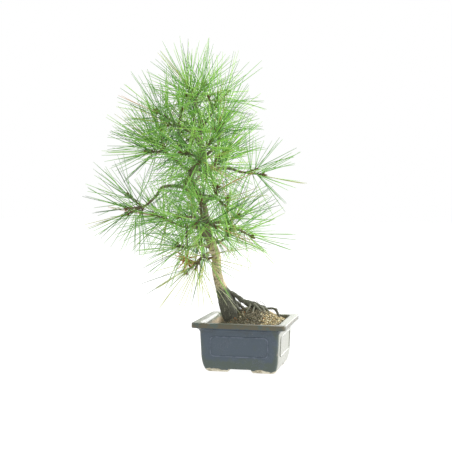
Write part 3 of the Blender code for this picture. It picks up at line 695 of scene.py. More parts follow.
def skin(rings, peak=None):
    """Points and faces of a closed shape through rings of points. A peak closes its top at that height."""
    count = len(rings[0])
    points = [p for ring in rings for p in ring]
    faces = []
    for i in range(len(rings) - 1):
        for k in range(count):
            nxt = (k + 1) % count
            faces.append((i * count + k, i * count + nxt, (i + 1) * count + nxt, (i + 1) * count + k))
    faces.append(tuple(reversed(range(count))))
    last = (len(rings) - 1) * count
    if peak is None:
        faces.append(tuple(range(last, last + count)))
    else:
        points.append(Vector((0, 0, peak)))
        faces += [(last + k, last + (k + 1) % count, len(points) - 1) for k in range(count)]
    return points, faces


def arrays_of(path):
    """The points and the radii of a path, as arrays."""
    return np.array([tuple(p) for p, _ in path]), np.array([r for _, r in path])


def strands(name, paths, sides, material):
    """Closed tubes along the paths, each of them points and radii, or arrays with one row for each strand."""
    mesh = bpy.data.meshes.new(name)
    points = np.concatenate([np.asarray(p, float).reshape(-1, 3) for p, _ in paths])
    radii = np.concatenate([np.asarray(r, float).ravel() for _, r in paths])
    edges, start = [], 0
    for path, _ in paths:
        path = np.asarray(path)
        count, rows = path.shape[-2], 1 if path.ndim == 2 else path.shape[0]
        grid = start + np.arange(rows * count).reshape(rows, count)
        edges.append(np.stack([grid[:, :-1], grid[:, 1:]], axis=-1).reshape(-1, 2))
        start += rows * count
    edges = np.concatenate(edges)
    mesh.vertices.add(len(points))
    mesh.vertices.foreach_set("co", points.astype(np.float32).ravel())
    mesh.edges.add(len(edges))
    mesh.edges.foreach_set("vertices", edges.astype(np.int32).ravel())
    set_attribute(mesh, "thickness", radii)
    made = linked(name, mesh)
    run_tree(made, strand_tree(), {"Sides": sides, "Material": material})
    made.data.attributes.remove(made.data.attributes["thickness"])
    made.data.shade_smooth()
    return made


def present(piece, slot, *nodes):
    """Lets a finished piece ride on the plant's body, and hides these nodes, which it stands for."""
    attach(piece, BODY)
    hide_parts(*nodes)


# Growth rule


def tree_point(across, deep, up):
    """A place in the tree's own front view, in millimetres, as a point of the model."""
    return POT_MIDDLE + Matrix.Rotation(TREE_TURN, 4, "Z") @ Vector((across * MM, deep * MM, up * MM))


def smooth_path(stations, step=LIMB_STEP, start=None):
    """Points and radii along a smooth curve through the stations, about one step apart."""
    knots = [(tree_point(*s[:3]), s[3] * MM) for s in stations]
    if start:
        knots.insert(0, start)
    before = (knots[0][0] * 2 - knots[1][0], knots[0][1])
    after = (knots[-1][0] * 2 - knots[-2][0], knots[-1][1])
    knots = [before, *knots, after]
    path = []
    for i in range(1, len(knots) - 2):
        (a, _), (b, rb), (c, rc), (d, _) = knots[i - 1 : i + 3]
        pieces = max(1, round((c - b).length / step))
        linear, square, cube = c - a, 2 * a - 5 * b + 4 * c - d, 3 * b - a - 3 * c + d
        for k in range(pieces):
            t = k / pieces
            path.append((b + 0.5 * (linear * t + square * t**2 + cube * t**3), rb + (rc - rb) * t))
    path.append(knots[-2])
    return path


def side_axes(along):
    """Two directions square to along, and to each other."""
    helper = Vector((0, 0, 1)) if abs(along.z) < 0.9 else Vector((1, 0, 0))
    first = along.cross(helper).normalized()
    return first, along.cross(first).normalized()


def on_trunk(path, height):
    """The point of the trunk's middle line at this height in millimetres, when followed up from its foot."""
    level = height * MM
    for (a, _), (b, _) in zip(path, path[1:]):
        if a.z <= level <= b.z:
            return a + (b - a) * ((level - a.z) / (b.z - a.z))
    return path[-1][0]


def beside_lines(points, starts, ends):
    """For each point and straight line, the share of the line where it passes nearest, and how far away it is."""
    along = ends - starts
    from_start = points[:, None, :] - starts
    share = np.clip(np.einsum("pij,ij->pi", from_start, along) / np.einsum("ij,ij->i", along, along), 0, 1)
    return share, np.linalg.norm(from_start - share[..., None] * along, axis=2)


class Clearance:
    """The tapering straight pieces that are already in place, for the tests of what may stand near them."""

    def __init__(self):
        self.starts, self.ends, self.radii, self.owners = [], [], [], []

    def add(self, start, end, start_radius, end_radius, owner):
        self.starts.append(tuple(start))
        self.ends.append(tuple(end))
        self.radii.append((start_radius, end_radius))
        self.owners.append(owner)

    def add_path(self, path, owner):
        for (a, ra), (b, rb) in zip(path, path[1:]):
            self.add(a, b, ra, rb, owner)

    def is_clear(self, start, end, radius):
        """Whether a new straight piece of this radius stays clear of every piece."""
        start, end, starts, ends = (np.array(v, float) for v in (start, end, self.starts, self.ends))
        d1, d2, r = end - start, ends - starts, start - starts
        a, e = d1 @ d1, np.einsum("ij,ij->i", d2, d2)
        b, c, f = d2 @ d1, r @ d1, np.einsum("ij,ij->i", d2, r)
        s = np.clip((b * f - c * e) / np.maximum(a * e - b * b, 1e-18), 0, 1)
        t = np.clip((b * s + f) / e, 0, 1)
        s = np.clip((b * t - c) / a, 0, 1)
        apart = np.linalg.norm(start + s[:, None] * d1 - starts - t[:, None] * d2, axis=1)
        radii = np.array(self.radii)
        far = radii[:, 0] + (radii[:, 1] - radii[:, 0]) * t
        return bool((apart > radius + far + NEEDLE_CLEARANCE).all())

    def distances(self, points, leave_out):
        """How far each point lies outside the nearest piece that isn't left out."""
        kept = [i for i, owner in enumerate(self.owners) if owner not in leave_out]
        radii = np.array(self.radii)[kept]
        share, apart = beside_lines(points, np.array(self.starts)[kept], np.array(self.ends)[kept])
        return (apart - radii[:, 0] - (radii[:, 1] - radii[:, 0]) * share).min(axis=1)


def side_shoot(stem, heading, share, roll, length, rng):
    """Where a side shoot starts on the stem, and its tip, turned by roll from the stem's upper side."""
    start, end = stem[1][0], stem[-1][0]
    foot = start + (end - start) * share
    across, beside = side_axes(heading)
    lean = SHOOT_LEAN + rng.uniform(-SHOOT_JITTER, SHOOT_JITTER)
    out = across * math.sin(roll) - beside * math.cos(roll)
    axis = (heading * math.cos(lean) + out * math.sin(lean)).normalized()
    return foot, foot + axis * (length * MM * rng.uniform(0.9, 1.08)), axis


def plan_mass(name, boughs, trunk, clearance, rng):
    """The stem of a mass and its side shoots, by one rule: they leave to one side, the other, then above."""
    start_name, stem_end, side_count, side_length, roll = MASSES[name][:5]
    (before, _), (bough_tip, radius) = (trunk if start_name == "trunk" else boughs[start_name])[-2:]
    along = (bough_tip - before).normalized()
    start, end = bough_tip + along * GAP, tree_point(*stem_end)
    knee = start + along * STEM_KNEE
    heading = (end - knee).normalized()
    stem = [(start, radius), (knee, radius * 0.95), (end - heading * CORE_LENGTH, TWIG_RADIUS * 1.1)]
    clearance.add_path([*stem, (end, CORE_RADIUS)], (name, 0))
    shoots = []
    for i in range(side_count):
        share = FIRST_SHOOT + SHOOT_SPAN * (i + 1) / (side_count + 1)
        for attempt in range(TURN_TRIES):
            turn = math.radians(roll) + SHOOT_SIDES[i % 3] + attempt * TRY_TURN
            foot, tip, axis = side_shoot(stem, heading, share, turn, side_length, rng)
            if clearance.is_clear(foot + axis * SHOOT_ROOT, tip, CORE_RADIUS):
                shoots.append((foot, tip))
                clearance.add(foot, tip, CORE_RADIUS, CORE_RADIUS, (name, len(shoots)))
                break
    return stem, end, shoots


@lru_cache(maxsize=None)
def skeleton():
    """The middle lines of the trunk, roots and boughs, and the plan of each mass, by the solids' own rule."""
    clearance = Clearance()
    trunk = smooth_path(TRUNK, TRUNK_STEP)
    clearance.add_path(trunk, "trunk")
    for name, stations in ROOTS.items():
        clearance.add_path(smooth_path(stations)[1:], name)
    boughs = {}
    for name, (height, radius, stations) in BOUGHS.items():
        boughs[name] = smooth_path(stations, start=(on_trunk(trunk, height), radius * MM))
        clearance.add_path(boughs[name][1:], name)
    rng = random.Random(SEEDS["plan"])
    plans = {name: plan_mass(name, boughs, trunk, clearance, rng) for name in MASSES}
    return trunk, boughs, plans, clearance


def shoots_of(plans):
    """Every shoot as its mass, its number there, where its needles start, its tip and how many it bears."""
    for name, (stem, end, sides) in plans.items():
        thickness = MASSES[name][6]
        yield name, 0, stem[-1][0], end, END_FULLNESS * thickness
        for i, (foot, tip) in enumerate(sides):
            axis = (tip - foot).normalized()
            yield name, i + 1, tip - axis * min(CORE_LENGTH, (tip - foot).length - 2 * MM), tip, thickness


# Pot


def rounded_rectangle(half_width, half_depth, corner, height, per_corner=CORNER_POINTS, per_side=SIDE_POINTS):
    """One level ring of points, anticlockwise seen from above, with points along its straight sides too."""
    ring = []
    for sign_x, sign_y, start in ((1, 1, 0), (-1, 1, 90), (-1, -1, 180), (1, -1, 270)):
        centre = Vector((sign_x * (half_width - corner), sign_y * (half_depth - corner), height))
        for k in range(per_corner + 1):
            turn = math.radians(start + 90 * k / per_corner)
            ring.append(centre + Vector((math.cos(turn), math.sin(turn), 0)) * corner)
    corners = len(ring)
    full = []
    for i, point in enumerate(ring):
        full.append(point)
        if i % (per_corner + 1) == per_corner:
            after = ring[(i + 1) % corners]
            full += [point.lerp(after, k / (per_side + 1)) for k in range(1, per_side + 1)]
    return full


def outer_profile():
    """The pot's outside from its foot to its rim, as (inset from the rim, height)."""
    profile = []
    for k in range(CURVE_STEPS + 1):
        turn = math.radians(90 * k / CURVE_STEPS)
        inset = FOOT_INSET - (FOOT_INSET - BELLY_INSET) * math.sin(turn)
        profile.append((inset, BELLY_HEIGHT * (1 - math.cos(turn))))
    rise = NECK_HEIGHT - BELLY_HEIGHT
    for k in range(1, NECK_STEPS):
        share = k / NECK_STEPS
        profile.append((BELLY_INSET + (NECK_INSET - BELLY_INSET) * share, BELLY_HEIGHT + rise * share))
    for k in range(CURVE_STEPS + 1):
        turn = math.radians(90 * (1 - k / CURVE_STEPS))
        height = NECK_HEIGHT + (RIM_HEIGHT - LIP_DROP - NECK_HEIGHT) * math.cos(turn)
        profile.append((NECK_INSET * math.sin(turn), height))
    profile += [(0, RIM_HEIGHT - LIP_DROP * share) for share in (0.75, 0.5, 0.3)]
    for k in range(1, LIP_STEPS + 1):
        turn = math.radians(90 * k / LIP_STEPS)
        profile.append((LIP_ROUND * (1 - math.cos(turn)), RIM_HEIGHT - LIP_ROUND * (1 - math.sin(turn))))
    return profile


def inner_profile():
    """The pot's inside from its rim down to its floor, as (inset from the rim, height)."""
    flat = [(LIP_ROUND + (MOUTH_INSET - 2 * MM - LIP_ROUND) * share, RIM_HEIGHT) for share in (0.4, 0.8)]
    return flat + [
        (MOUTH_INSET - 1.2 * MM, RIM_HEIGHT - 0.2 * MM),
        (MOUTH_INSET, RIM_HEIGHT - 1 * MM),
        (MOUTH_INSET + 0.9 * MM, RIM_HEIGHT - 2.6 * MM),
        (INNER_INSET - 1 * MM, RIM_HEIGHT - 6 * MM),
        (INNER_INSET - 0.3 * MM, RIM_HEIGHT - 11 * MM),
        (INNER_INSET, NECK_HEIGHT),
        (INNER_INSET + 2 * MM, BELLY_HEIGHT),
        (INNER_INSET + 10 * MM, POT_FLOOR + 2 * MM),
        (INNER_INSET + 14 * MM, POT_FLOOR),
    ]


def ring_at(inset, height):
    corner = max(RIM_CORNER - inset * 0.1, 3 * MM)
    return rounded_rectangle(RIM_WIDTH / 2 - inset, RIM_DEPTH / 2 - inset, corner, height)


def foot_gap(along_x):
    """Points and faces of a long bar under the pot whose sides lean in, which leaves the feet at the corners."""
    low, high = FOOT_GAP_BELOW / 2, FOOT_GAP_ABOVE / 2
    flare = low - high
    section = [(-low - flare, -FOOT_HEIGHT), (low + flare, -FOOT_HEIGHT), (high, FOOT_HEIGHT), (-high, FOOT_HEIGHT)]
    points = []
    for end in (-RIM_WIDTH, RIM_WIDTH):
        for side, height in section:
            points.append((end, side, height) if along_x else (side, end, height))
    return points, [(0, 1, 5, 4), (1, 2, 6, 5), (2, 3, 7, 6), (3, 0, 4, 7), (3, 2, 1, 0), (4, 5, 6, 7)]


def face_outwards(thing):
    work = bmesh.new()
    work.from_mesh(thing.data)
    bmesh.ops.recalc_face_normals(work, faces=work.faces)
    work.to_mesh(thing.data)
    work.free()


def cut(thing, cutter):
    """Takes the cutter's shape out of the object, and removes the cutter."""
    face_outwards(cutter)
    modifier = thing.modifiers.new("cut", "BOOLEAN")
    modifier.object = cutter
    modifier.solver = "EXACT"
    settle(thing)
    remove(cutter)


def wall_inset(height):
    """How far the pot's outside lies in from the rim at this height."""
    profile = outer_profile()
    for (inset_a, low), (inset_b, high) in zip(profile, profile[1:]):
        if low <= height <= high and high > low:
            return inset_a + (inset_b - inset_a) * (height - low) / (high - low)
    return 0.0


def wandering(points, size, seed):
    """Soft noise from -1 to 1 at each point, with blobs of about this size."""
    shift = Vector((seed * 7.3, seed * 3.1, seed * 5.7))
    return np.array([noise.noise(Vector(p) / size + shift) for p in points])


def make_pot_walls(sizes, material):
    """The pot without its frames: cut feet, a curved belly, a hollow neck and a flat rim, slightly uneven."""
    rings = [ring_at(*p) for p in outer_profile() + inner_profile()]
    pot = new_object("pot_walls", *skin(rings), material)
    for along_x in (True, False):
        cut(pot, new_object("foot_gap", *foot_gap(along_x)))
    points, normals = points_of(pot.data), normals_of(pot.data)
    uneven = wandering(points, WAVE_SIZE, 1) * sizes.waviness
    uneven[(points[:, 2] < FOOT_HEIGHT) | (points[:, 2] > RIM_HEIGHT - 0.1 * MM)] = 0
    set_points(pot.data, points + normals * uneven[:, None] - normals * sizes.waviness / 2 * (uneven[:, None] != 0))
    # The share that faces the ends, where the cream of painted light goes.
    set_attribute(pot.data, "end_share", smoothed_step(np.abs(normals_of(pot.data)[:, 0]), 0.75, 0.97))
    pot.data.transform(Matrix.Translation(POT_MIDDLE))
    pot.data.shade_smooth()
    pot.data.set_sharp_from_angle(angle=SHARP_ANGLE)
    return pot


def frame_path(quarter, bead):
    """The line round one face's panel, half sunk in the wall, closed by its first point."""
    across_x = quarter % 2 == 0
    half_span = (RIM_WIDTH if across_x else RIM_DEPTH) / 2
    face_half = (RIM_DEPTH if across_x else RIM_WIDTH) / 2
    middle = (FRAME_LOW + FRAME_HIGH) / 2
    outline = rounded_rectangle(half_span - FRAME_SIDE, (FRAME_HIGH - FRAME_LOW) / 2, FRAME_CORNER, 0, *FRAME_POINTS)
    turn = Matrix.Rotation(math.pi / 2 * quarter, 4, "Z")
    path = []
    for point in outline:
        level = middle + point.y
        path.append(POT_MIDDLE + turn @ Vector((point.x, wall_inset(level) - face_half + bead * 0.35, level)))
    return path


def make_pot(context):
    sizes = context.scene.pine_pot
    glaze = glaze_material(sizes)
    present(make_pot_walls(sizes, glaze), "glaze", "pot")
    paths = []
    for quarter in range(4):
        line = frame_path(quarter, sizes.bead)
        line += line[:2]
        paths.append((np.array(line), np.full(len(line), sizes.bead)))
    present(strands("pot_frames", paths, FRAME_SIDES, bead_material(sizes)), "glaze", "pot")


def glaze_material(sizes):
    """Blue-grey glaze, greener where it pools, brown where thin over the lip, and bare clay at feet and inside."""
    shader = Shader("pot_glaze")
    mottle = shader.noise(15 * MM, 4)
    fine = shader.noise(2.2 * MM, 3)
    across, deep = shader.x - POT_MIDDLE.x, shader.y - POT_MIDDLE.y
    half_width, half_depth = RIM_WIDTH / 2 - BELLY_INSET, RIM_DEPTH / 2 - BELLY_INSET
    near_corner = (across.size() / half_width).ramp(0.80, 0.98) * (deep.size() / half_depth).ramp(0.80, 0.98)
    low = shader.z.ramp(34 * MM, 12 * MM)
    pooled = (low * 0.9 + near_corner * 0.7 + (mottle - 0.5) * 2.2).ramp(0.1, 0.9)
    colour = shader.mix(sizes.glaze, sizes.glaze_low, pooled)
    # Darker in a band just under the lip, as well as in the runs of glaze.
    under_lip = shader.z.ramp(RIM_HEIGHT - LIP_DROP - 12 * MM, RIM_HEIGHT - LIP_DROP - 6 * MM)
    runs = shader.noise(19 * MM, 3)
    thick = (runs * 1.4 + under_lip * 0.35 + fine * 0.2).ramp(0.85, 1.45)
    colour = shader.mix(colour, sizes.glaze_dark, thick * 0.8)
    colour = shader.mix(colour, sizes.glaze_bead, (runs * 0.4 + fine * 0.6).ramp(0.5, 0.66) * 0.4)
    # Painted light: the ends go cream, partly a paler glaze and partly the strong light from the right painted in.
    colour = shader.mix(colour, sizes.end_glaze_and_painted_light, shader.attribute("end_share") * mottle.ramp(-0.2, 0.5))
    lip = shader.z.ramp(RIM_HEIGHT - LIP_DROP - 0.4 * MM, RIM_HEIGHT - LIP_DROP + 1.4 * MM)
    colour = shader.mix(colour, shader.mix(sizes.glaze_low, sizes.glaze_thin, mottle.ramp(0.35, 0.55)), lip)
    flat_top = shader.z.ramp(RIM_HEIGHT - 0.7 * MM, RIM_HEIGHT - 0.2 * MM)
    front = deep.ramp(-half_depth + 2 * MM, -half_depth - 4 * MM)
    colour = shader.mix(colour, sizes.pale_rim_and_painted_light, flat_top * (1 - front) * mottle.ramp(0.1, 0.5))
    chips = shader.cells(9 * MM).ramp(0.10, 0.05) * shader.noise(34 * MM).ramp(0.55, 0.6)
    colour = shader.mix(colour, tint(150, 152, 140), chips * 0.7)
    inner = ((RIM_WIDTH / 2 - INNER_INSET + 3.4 * MM) - across.size()).ramp(0, 0.6 * MM)
    inner = inner * ((RIM_DEPTH / 2 - INNER_INSET + 3.4 * MM) - deep.size()).ramp(0, 0.6 * MM)
    inner = inner * shader.z.ramp(30 * MM, 34 * MM)
    # Painted light: the inner left wall goes pale, for the light and its reflection from the right.
    colour = shader.mix(colour, sizes.pale_rim_and_painted_light, inner * across.ramp(-30 * MM, -50 * MM))
    bare_inside = inner * (shader.z + (mottle - 0.5) * 10 * MM).ramp(RIM_HEIGHT - 5 * MM, RIM_HEIGHT - 10 * MM)
    stain = (fine * 0.6 + mottle * 0.8).ramp(0.5, 1.0)
    colour = shader.mix(colour, shader.mix(sizes.inside, tint(134, 122, 102), stain), bare_inside)
    edge = 5.2 * MM + (shader.noise(13 * MM, 1) - 0.5) * 10 * MM
    bare_foot = (shader.z - edge).ramp(0.4 * MM, -0.4 * MM)
    colour = shader.mix(colour, shader.mix(sizes.clay, tint(132, 122, 94), stain), bare_foot)
    bare = bare_foot.math("MAXIMUM", bare_foot, bare_inside)
    roughness = 0.2 + mottle * 0.08 + bare * 0.6 + flat_top * (front * 0.1 + 0.25)
    return shader.finish(colour, roughness, relief=fine * 0.3 + mottle * 0.7, depth=0.25 * MM,
                         Specular_IOR_Level=0.35)


def bead_material(sizes):
    """The same glaze, paler where it runs off a raised line, and cream with painted light at the ends."""
    shader = Shader("bead_glaze")
    mottle = shader.noise(11 * MM, 3)
    colour = shader.mix(sizes.glaze_bead, sizes.glaze, mottle.ramp(0.42, 0.66))
    # Painted light: near the ends the bead goes cream, like the end walls.
    at_end = (shader.x - POT_MIDDLE.x).size().ramp(52 * MM, 54 * MM)
    colour = shader.mix(colour, shaded(sizes.end_glaze_and_painted_light, 0.8), at_end * 0.9)
    return shader.finish(colour, 0.22 + mottle * 0.08, Specular_IOR_Level=0.35)


# Soil


def soil_height(x, y):
    """The soil's top: it rises to the right, and is heaped up under the bare roots."""
    dx = (x - MOUND_PLACE[0]) / MOUND_SPREAD[0]
    dy = (y - MOUND_PLACE[1]) / MOUND_SPREAD[1]
    level = SOIL_LEFT + (SOIL_RIGHT - SOIL_LEFT) * (x / RIM_WIDTH + 0.5)
    return level + MOUND_HEIGHT * math.exp(-((dx * dx + dy * dy) ** 1.25))


def round_patch(x, y, place, spread):
    """From 1 in the middle of a patch down softly to 0 round it."""
    return np.exp(-(((x - place[0]) / spread[0]) ** 2 + ((y - place[1]) / spread[1]) ** 2))


def make_soil_bed(material):
    """A closed bed that fills the pot below its mouth, with a crumbly heaped top."""
    walls = [p for p in reversed(inner_profile()) if p[1] <= BELLY_HEIGHT]
    rings = [ring_at(inset + GAP, height + GAP) for inset, height in walls]
    brim = ring_at(SOIL_EDGE, SOIL_LEFT)
    for k in range(SOIL_CELLS):
        share = 1 - k / SOIL_CELLS
        rings.append([Vector((p.x * share, p.y * share, soil_height(p.x * share, p.y * share))) for p in brim])
    bed = new_object("soil_bed", *skin(rings, soil_height(0, 0)), material)
    points = points_of(bed.data)
    top = points[:, 2] > SOIL_LEFT - 6 * MM
    rough = wandering(points, 3.5 * MM, 2) * 0.9 * MM + wandering(points, 11 * MM, 3) * 1.4 * MM
    points[:, 2] += np.where(top, rough - 0.6 * MM, 0)
    set_points(bed.data, points)
    x, y = points[:, 0], points[:, 1]
    patch = wandering(points * (1, 1, 0), 22 * MM, 4)
    pale = np.clip((x - PALE_START) / PALE_RISE + patch * 0.6 - round_patch(x, y, *DARK_HEAP) * 1.6, 0, 1)
    near_trunk = round_patch(x, y, *TRUNK_HEAP)
    moss = np.clip(patch * 2.2 - 0.5, 0, 1) * np.clip(1 - np.abs(x - MOSS_PLACE) / MOSS_REACH, 0, 1)
    fields = (1 - pale * 0.5, 1 - pale * 0.6, pale, np.clip(pale * 0.8 + near_trunk * 0.4, 0, 1),
              np.clip(near_trunk * 0.8 + pale * 0.12 + 0.03, 0, 1), moss)
    for name, field in zip(SOIL_FIELDS, fields):
        set_attribute(bed.data, name, np.where(top, field, 0))
    bed.data.transform(Matrix.Translation(POT_MIDDLE))
    bed.data.shade_smooth()
    return bed


def grain_shapes(name, detail, flatness, count=5):
    """A collection of lumpy grains of unit size."""
    group = bpy.data.collections.new(name)
    for i in range(count):
        work = bmesh.new()
        bmesh.ops.create_icosphere(work, subdivisions=detail, radius=0.5)
        mesh = bpy.data.meshes.new(f"{name}_{i}")
        work.to_mesh(mesh)
        work.free()
        points = points_of(mesh)
        swell = 1 + 0.34 * wandering(points, 0.55, 10 + i) + 0.12 * wandering(points, 0.22, 20 + i)
        set_points(mesh, points * swell[:, None] * (1, 0.82, flatness))
        group.objects.link(bpy.data.objects.new(f"{name}_{i}", mesh))
    return group


def drop_fields(mesh):
    """Removes the maps of where each kind of grain lies."""
    for name in SOIL_FIELDS:
        if name in mesh.attributes:
            mesh.attributes.remove(mesh.attributes[name])


def drop_group(group):
    for thing in list(group.objects):
        remove(thing)
    bpy.data.collections.remove(group)


def make_grains(name, bed, shapes, where, apart, size, seed, material):
    """One kind of grain laid on the soil bed by the scatter tree, half sunk in it."""
    made = linked(name, bed.data.copy())
    run_tree(made, scatter_tree(), {"Grains": shapes, "Apart": apart, "Size": size, "Where": where, "Seed": seed,
                                    "Material": material})
    drop_fields(made.data)
    made.data.shade_smooth()
    present(made, "soil", "soil")


def grain_material(name, colour, dark, roughness=0.9):
    """A gritty mineral surface that varies from grain to grain."""
    shader = Shader(name)
    patch = shader.noise(6 * MM, 2)
    grit = shader.noise(0.7 * MM, 3)
    shade = shader.mix(colour, shaded(colour, dark), (patch * 1.2 + grit * 0.5 - 0.35).ramp(0.1, 0.9))
    return shader.finish(shade, roughness, relief=grit, depth=0.3 * MM)


def make_soil(context):
    sizes = context.scene.pine_soil
    bed = make_soil_bed(grain_material("soil_base", shaded(sizes.crumb_colour, 0.8), 0.45, 0.95))
    crumbs = grain_shapes("crumb", 1, 0.8)
    pebbles = grain_shapes("pebble", 2, 0.72)
    crumb, pebble = sizes.crumb, sizes.pebble
    kinds = [
        ("soil_crumbs", crumbs, "crumbs", 0.8 * crumb, 1.1 * crumb, 1, sizes.crumb_colour, 0.4),
        ("soil_brown_crumbs", crumbs, "crumbs", 1.2 * crumb, 1.2 * crumb, 2, sizes.brown_colour, 0.5),
        ("soil_grit", crumbs, "grit", 2.0 * crumb, 1.1 * crumb, 7, sizes.grey_colour, 0.6),
        ("soil_pebbles", pebbles, "pebbles", 0.9 * pebble, pebble, 3, sizes.pebble_colour, 0.45),
        ("soil_pale_pebbles", pebbles, "pale_pebbles", 1.15 * pebble, pebble, 4, sizes.pale_colour, 0.7),
        ("soil_baked_clay", pebbles, "baked", 1.6 * pebble, 0.9 * pebble, 5, sizes.orange_colour, 0.6),
        ("soil_moss", crumbs, "mossy", 0.8 * crumb, 1.2 * crumb, 6, sizes.moss_colour, 0.5),
    ]
    for name, shapes, where, apart, size, seed, colour, dark in kinds:
        material = grain_material(name.replace("soil", "grit"), colour, dark)
        make_grains(name, bed, shapes, where, apart, size, seed, material)
    drop_group(crumbs)
    drop_group(pebbles)
    drop_fields(bed.data)
    present(bed, "soil", "soil")


# Bark


def tube(path, sides, lump=0.0, seed=0):
    """Points and faces of a closed tapering tube along the path."""
    rng = random.Random(seed)
    rings = []
    last = len(path) - 1
    across, _ = side_axes((path[1][0] - path[0][0]).normalized())
    for i, (place, radius) in enumerate(path):
        along = (path[min(i + 1, last)][0] - path[max(i - 1, 0)][0]).normalized()
        across = (across - along * across.dot(along)).normalized()
        beside = along.cross(across)
        ring = []
        for k in range(sides):
            turn = math.tau * k / sides
            reach = radius * (1 + lump * rng.uniform(-1, 1))
            ring.append(place + (across * math.cos(turn) + beside * math.sin(turn)) * reach)
        rings.append(ring)
    return skin(rings)


def ball(place, radius):
    work = bmesh.new()
    bmesh.ops.create_icosphere(work, subdivisions=2, radius=radius, matrix=Matrix.Translation(place))
    shape = [v.co.copy() for v in work.verts], [tuple(v.index for v in f.verts) for f in work.faces]
    work.free()
    return shape


def foot_strands(trunk, shapes, rng):
    """Thin roots that run down the trunk's foot and have grown onto it, laid on its surface."""
    surface = BVHTree.FromPolygons(*merged(shapes))
    found = []
    for k in range(FOOT_STRANDS):
        turn = math.tau * (k + rng.uniform(-0.3, 0.3)) / FOOT_STRANDS
        twist = rng.uniform(*FOOT_STRAND_TWISTS)
        top = rng.uniform(*FOOT_STRAND_TOPS)
        radius = rng.uniform(*FOOT_STRAND_RADII) * MM
        path = []
        for j in range(FOOT_STRAND_POINTS):
            share = j / (FOOT_STRAND_POINTS - 1)
            height = top + (TRUNK_FOOT / MM - 2 - top) * share
            centre = on_trunk(trunk, max(height, TRUNK_FOOT / MM))
            angle = turn + twist * share + 0.12 * math.sin(share * 9 + k)
            out = Vector((math.cos(angle), math.sin(angle), 0))
            hit = surface.ray_cast(centre + out * 60 * MM, -out)[0]
            if hit:
                swell = 0.5 + 0.5 * min(1, share * 3)
                path.append((hit - out * radius * 0.25, radius * swell))
        if len(path) > 3:
            found.append(tube(path, 8, 0.15, k))
    return found


def remeshed(name, shapes, size, smooth=2):
    """One even skin over all the shapes, with softened joints."""
    thing = new_object(name, *merged(shapes))
    modifier = thing.modifiers.new("skin", "REMESH")
    modifier.mode = "VOXEL"
    modifier.voxel_size = size
    soften = thing.modifiers.new("soften", "SMOOTH")
    soften.iterations = smooth
    soften.factor = 0.5
    settle(thing)
    return thing


def cracks(points, size, stretch):
    """From 0 in the middle of a bark plate to 1 in the crack round it."""
    noise.seed_set(SEEDS["cracks"])  # noise_vector would start from the clock without it
    found = np.empty(len(points))
    for i, p in enumerate(points):
        place = Vector((p[0] / size, p[1] / size, p[2] / (size * stretch)))
        place += noise.noise_vector(place * 1.7) * 0.35
        near, second = noise.voronoi(place)[0][:2]
        found[i] = 1 - min(1, (second - near) * 2.4)
    return found


def smoothed_step(values, low, high):
    share = np.clip((values - low) / (high - low), 0, 1)
    return share * share * (3 - 2 * share)


def trunk_distance(points, path):
    """How far each point lies from the trunk's middle line, as a share of its radius there."""
    line, radii = arrays_of(path)
    _, apart = beside_lines(points, line[:-1], line[1:])
    nearest = apart.argmin(axis=1)
    return apart[np.arange(len(points)), nearest] / radii[nearest]


def make_limbs(context):
    """Trunk, foot and boughs as one skin of bark, whose relief is real and whose marks follow it."""
    sizes = context.scene.pine_bark
    rng = random.Random(SEEDS["limbs"])
    trunk = smooth_path(TRUNK, FINE_STEP)
    coarse = skeleton()[0]
    shapes = [tube([(p, r + BARK_THICKNESS) for p, r in trunk], 40, 0.02, 3)]
    shapes += [tube(list(reversed(smooth_path(s, FINE_STEP))), 20, 0.06, 20 + i)
               for i, s in enumerate(ROOT_RIBS.values())]
    shapes += foot_strands(coarse, shapes, rng)
    for i, (height, radius, stations) in enumerate(BOUGHS.values()):
        path = smooth_path(stations, FINE_STEP, (on_trunk(coarse, height), radius * MM))
        count = len(path) - 1
        path = [(p, r * (1 + 0.5 * math.exp(-9 * k / count)) * (1 + 0.07 * rng.uniform(-1, 1)))
                for k, (p, r) in enumerate(path)]
        shapes.append(tube(path, 16, 0.05, 60 + i))
        if rng.random() < 0.7:
            place, thickness = path[rng.randrange(count // 3, count)]
            aside = Vector((rng.uniform(-1, 1), rng.uniform(-1, 1), 0.6)) * MM
            shapes.append(ball(place + aside, thickness * 1.25))
    for height, size in TRUNK_KNOTS:
        shapes.append(ball(on_trunk(coarse, height), size * MM))
    limbs = remeshed("limbs_bark", shapes, sizes.grain)
    points, normals = points_of(limbs.data), normals_of(limbs.data)
    keep = points[:, 2] > TRUNK_FOOT - 1 * MM
    plates = cracks(points, 4.2 * MM, 1.5)
    ridges = wandering(points * (1, 1, 0.22), 2.2 * MM, 6)
    fine = wandering(points, 1.5 * MM, 7)
    height = points[:, 2] + wandering(points, 9 * MM, 8) * 5 * MM
    rooty = 1 - smoothed_step(height, DARK_FOOT - 6 * MM, DARK_FOOT + 5 * MM)
    stout = np.clip(1.25 - trunk_distance(points, trunk) * 0.35, 0.3, 1)
    relief = (0.5 - plates) * (1 - rooty) * stout + ridges * (0.35 + rooty * 0.8) + fine * 0.4
    set_points(limbs.data, points + normals * (relief * sizes.relief * keep)[:, None])
    set_attribute(limbs.data, "crack", plates)
    set_attribute(limbs.data, "rooty", rooty)
    set_attribute(limbs.data, "hollow", np.clip(0.5 - ridges, 0, 1))
    limbs.data.materials.append(bark_material(sizes))
    limbs.data.shade_smooth()
    present(limbs, "bark", "trunk", *BOUGHS)


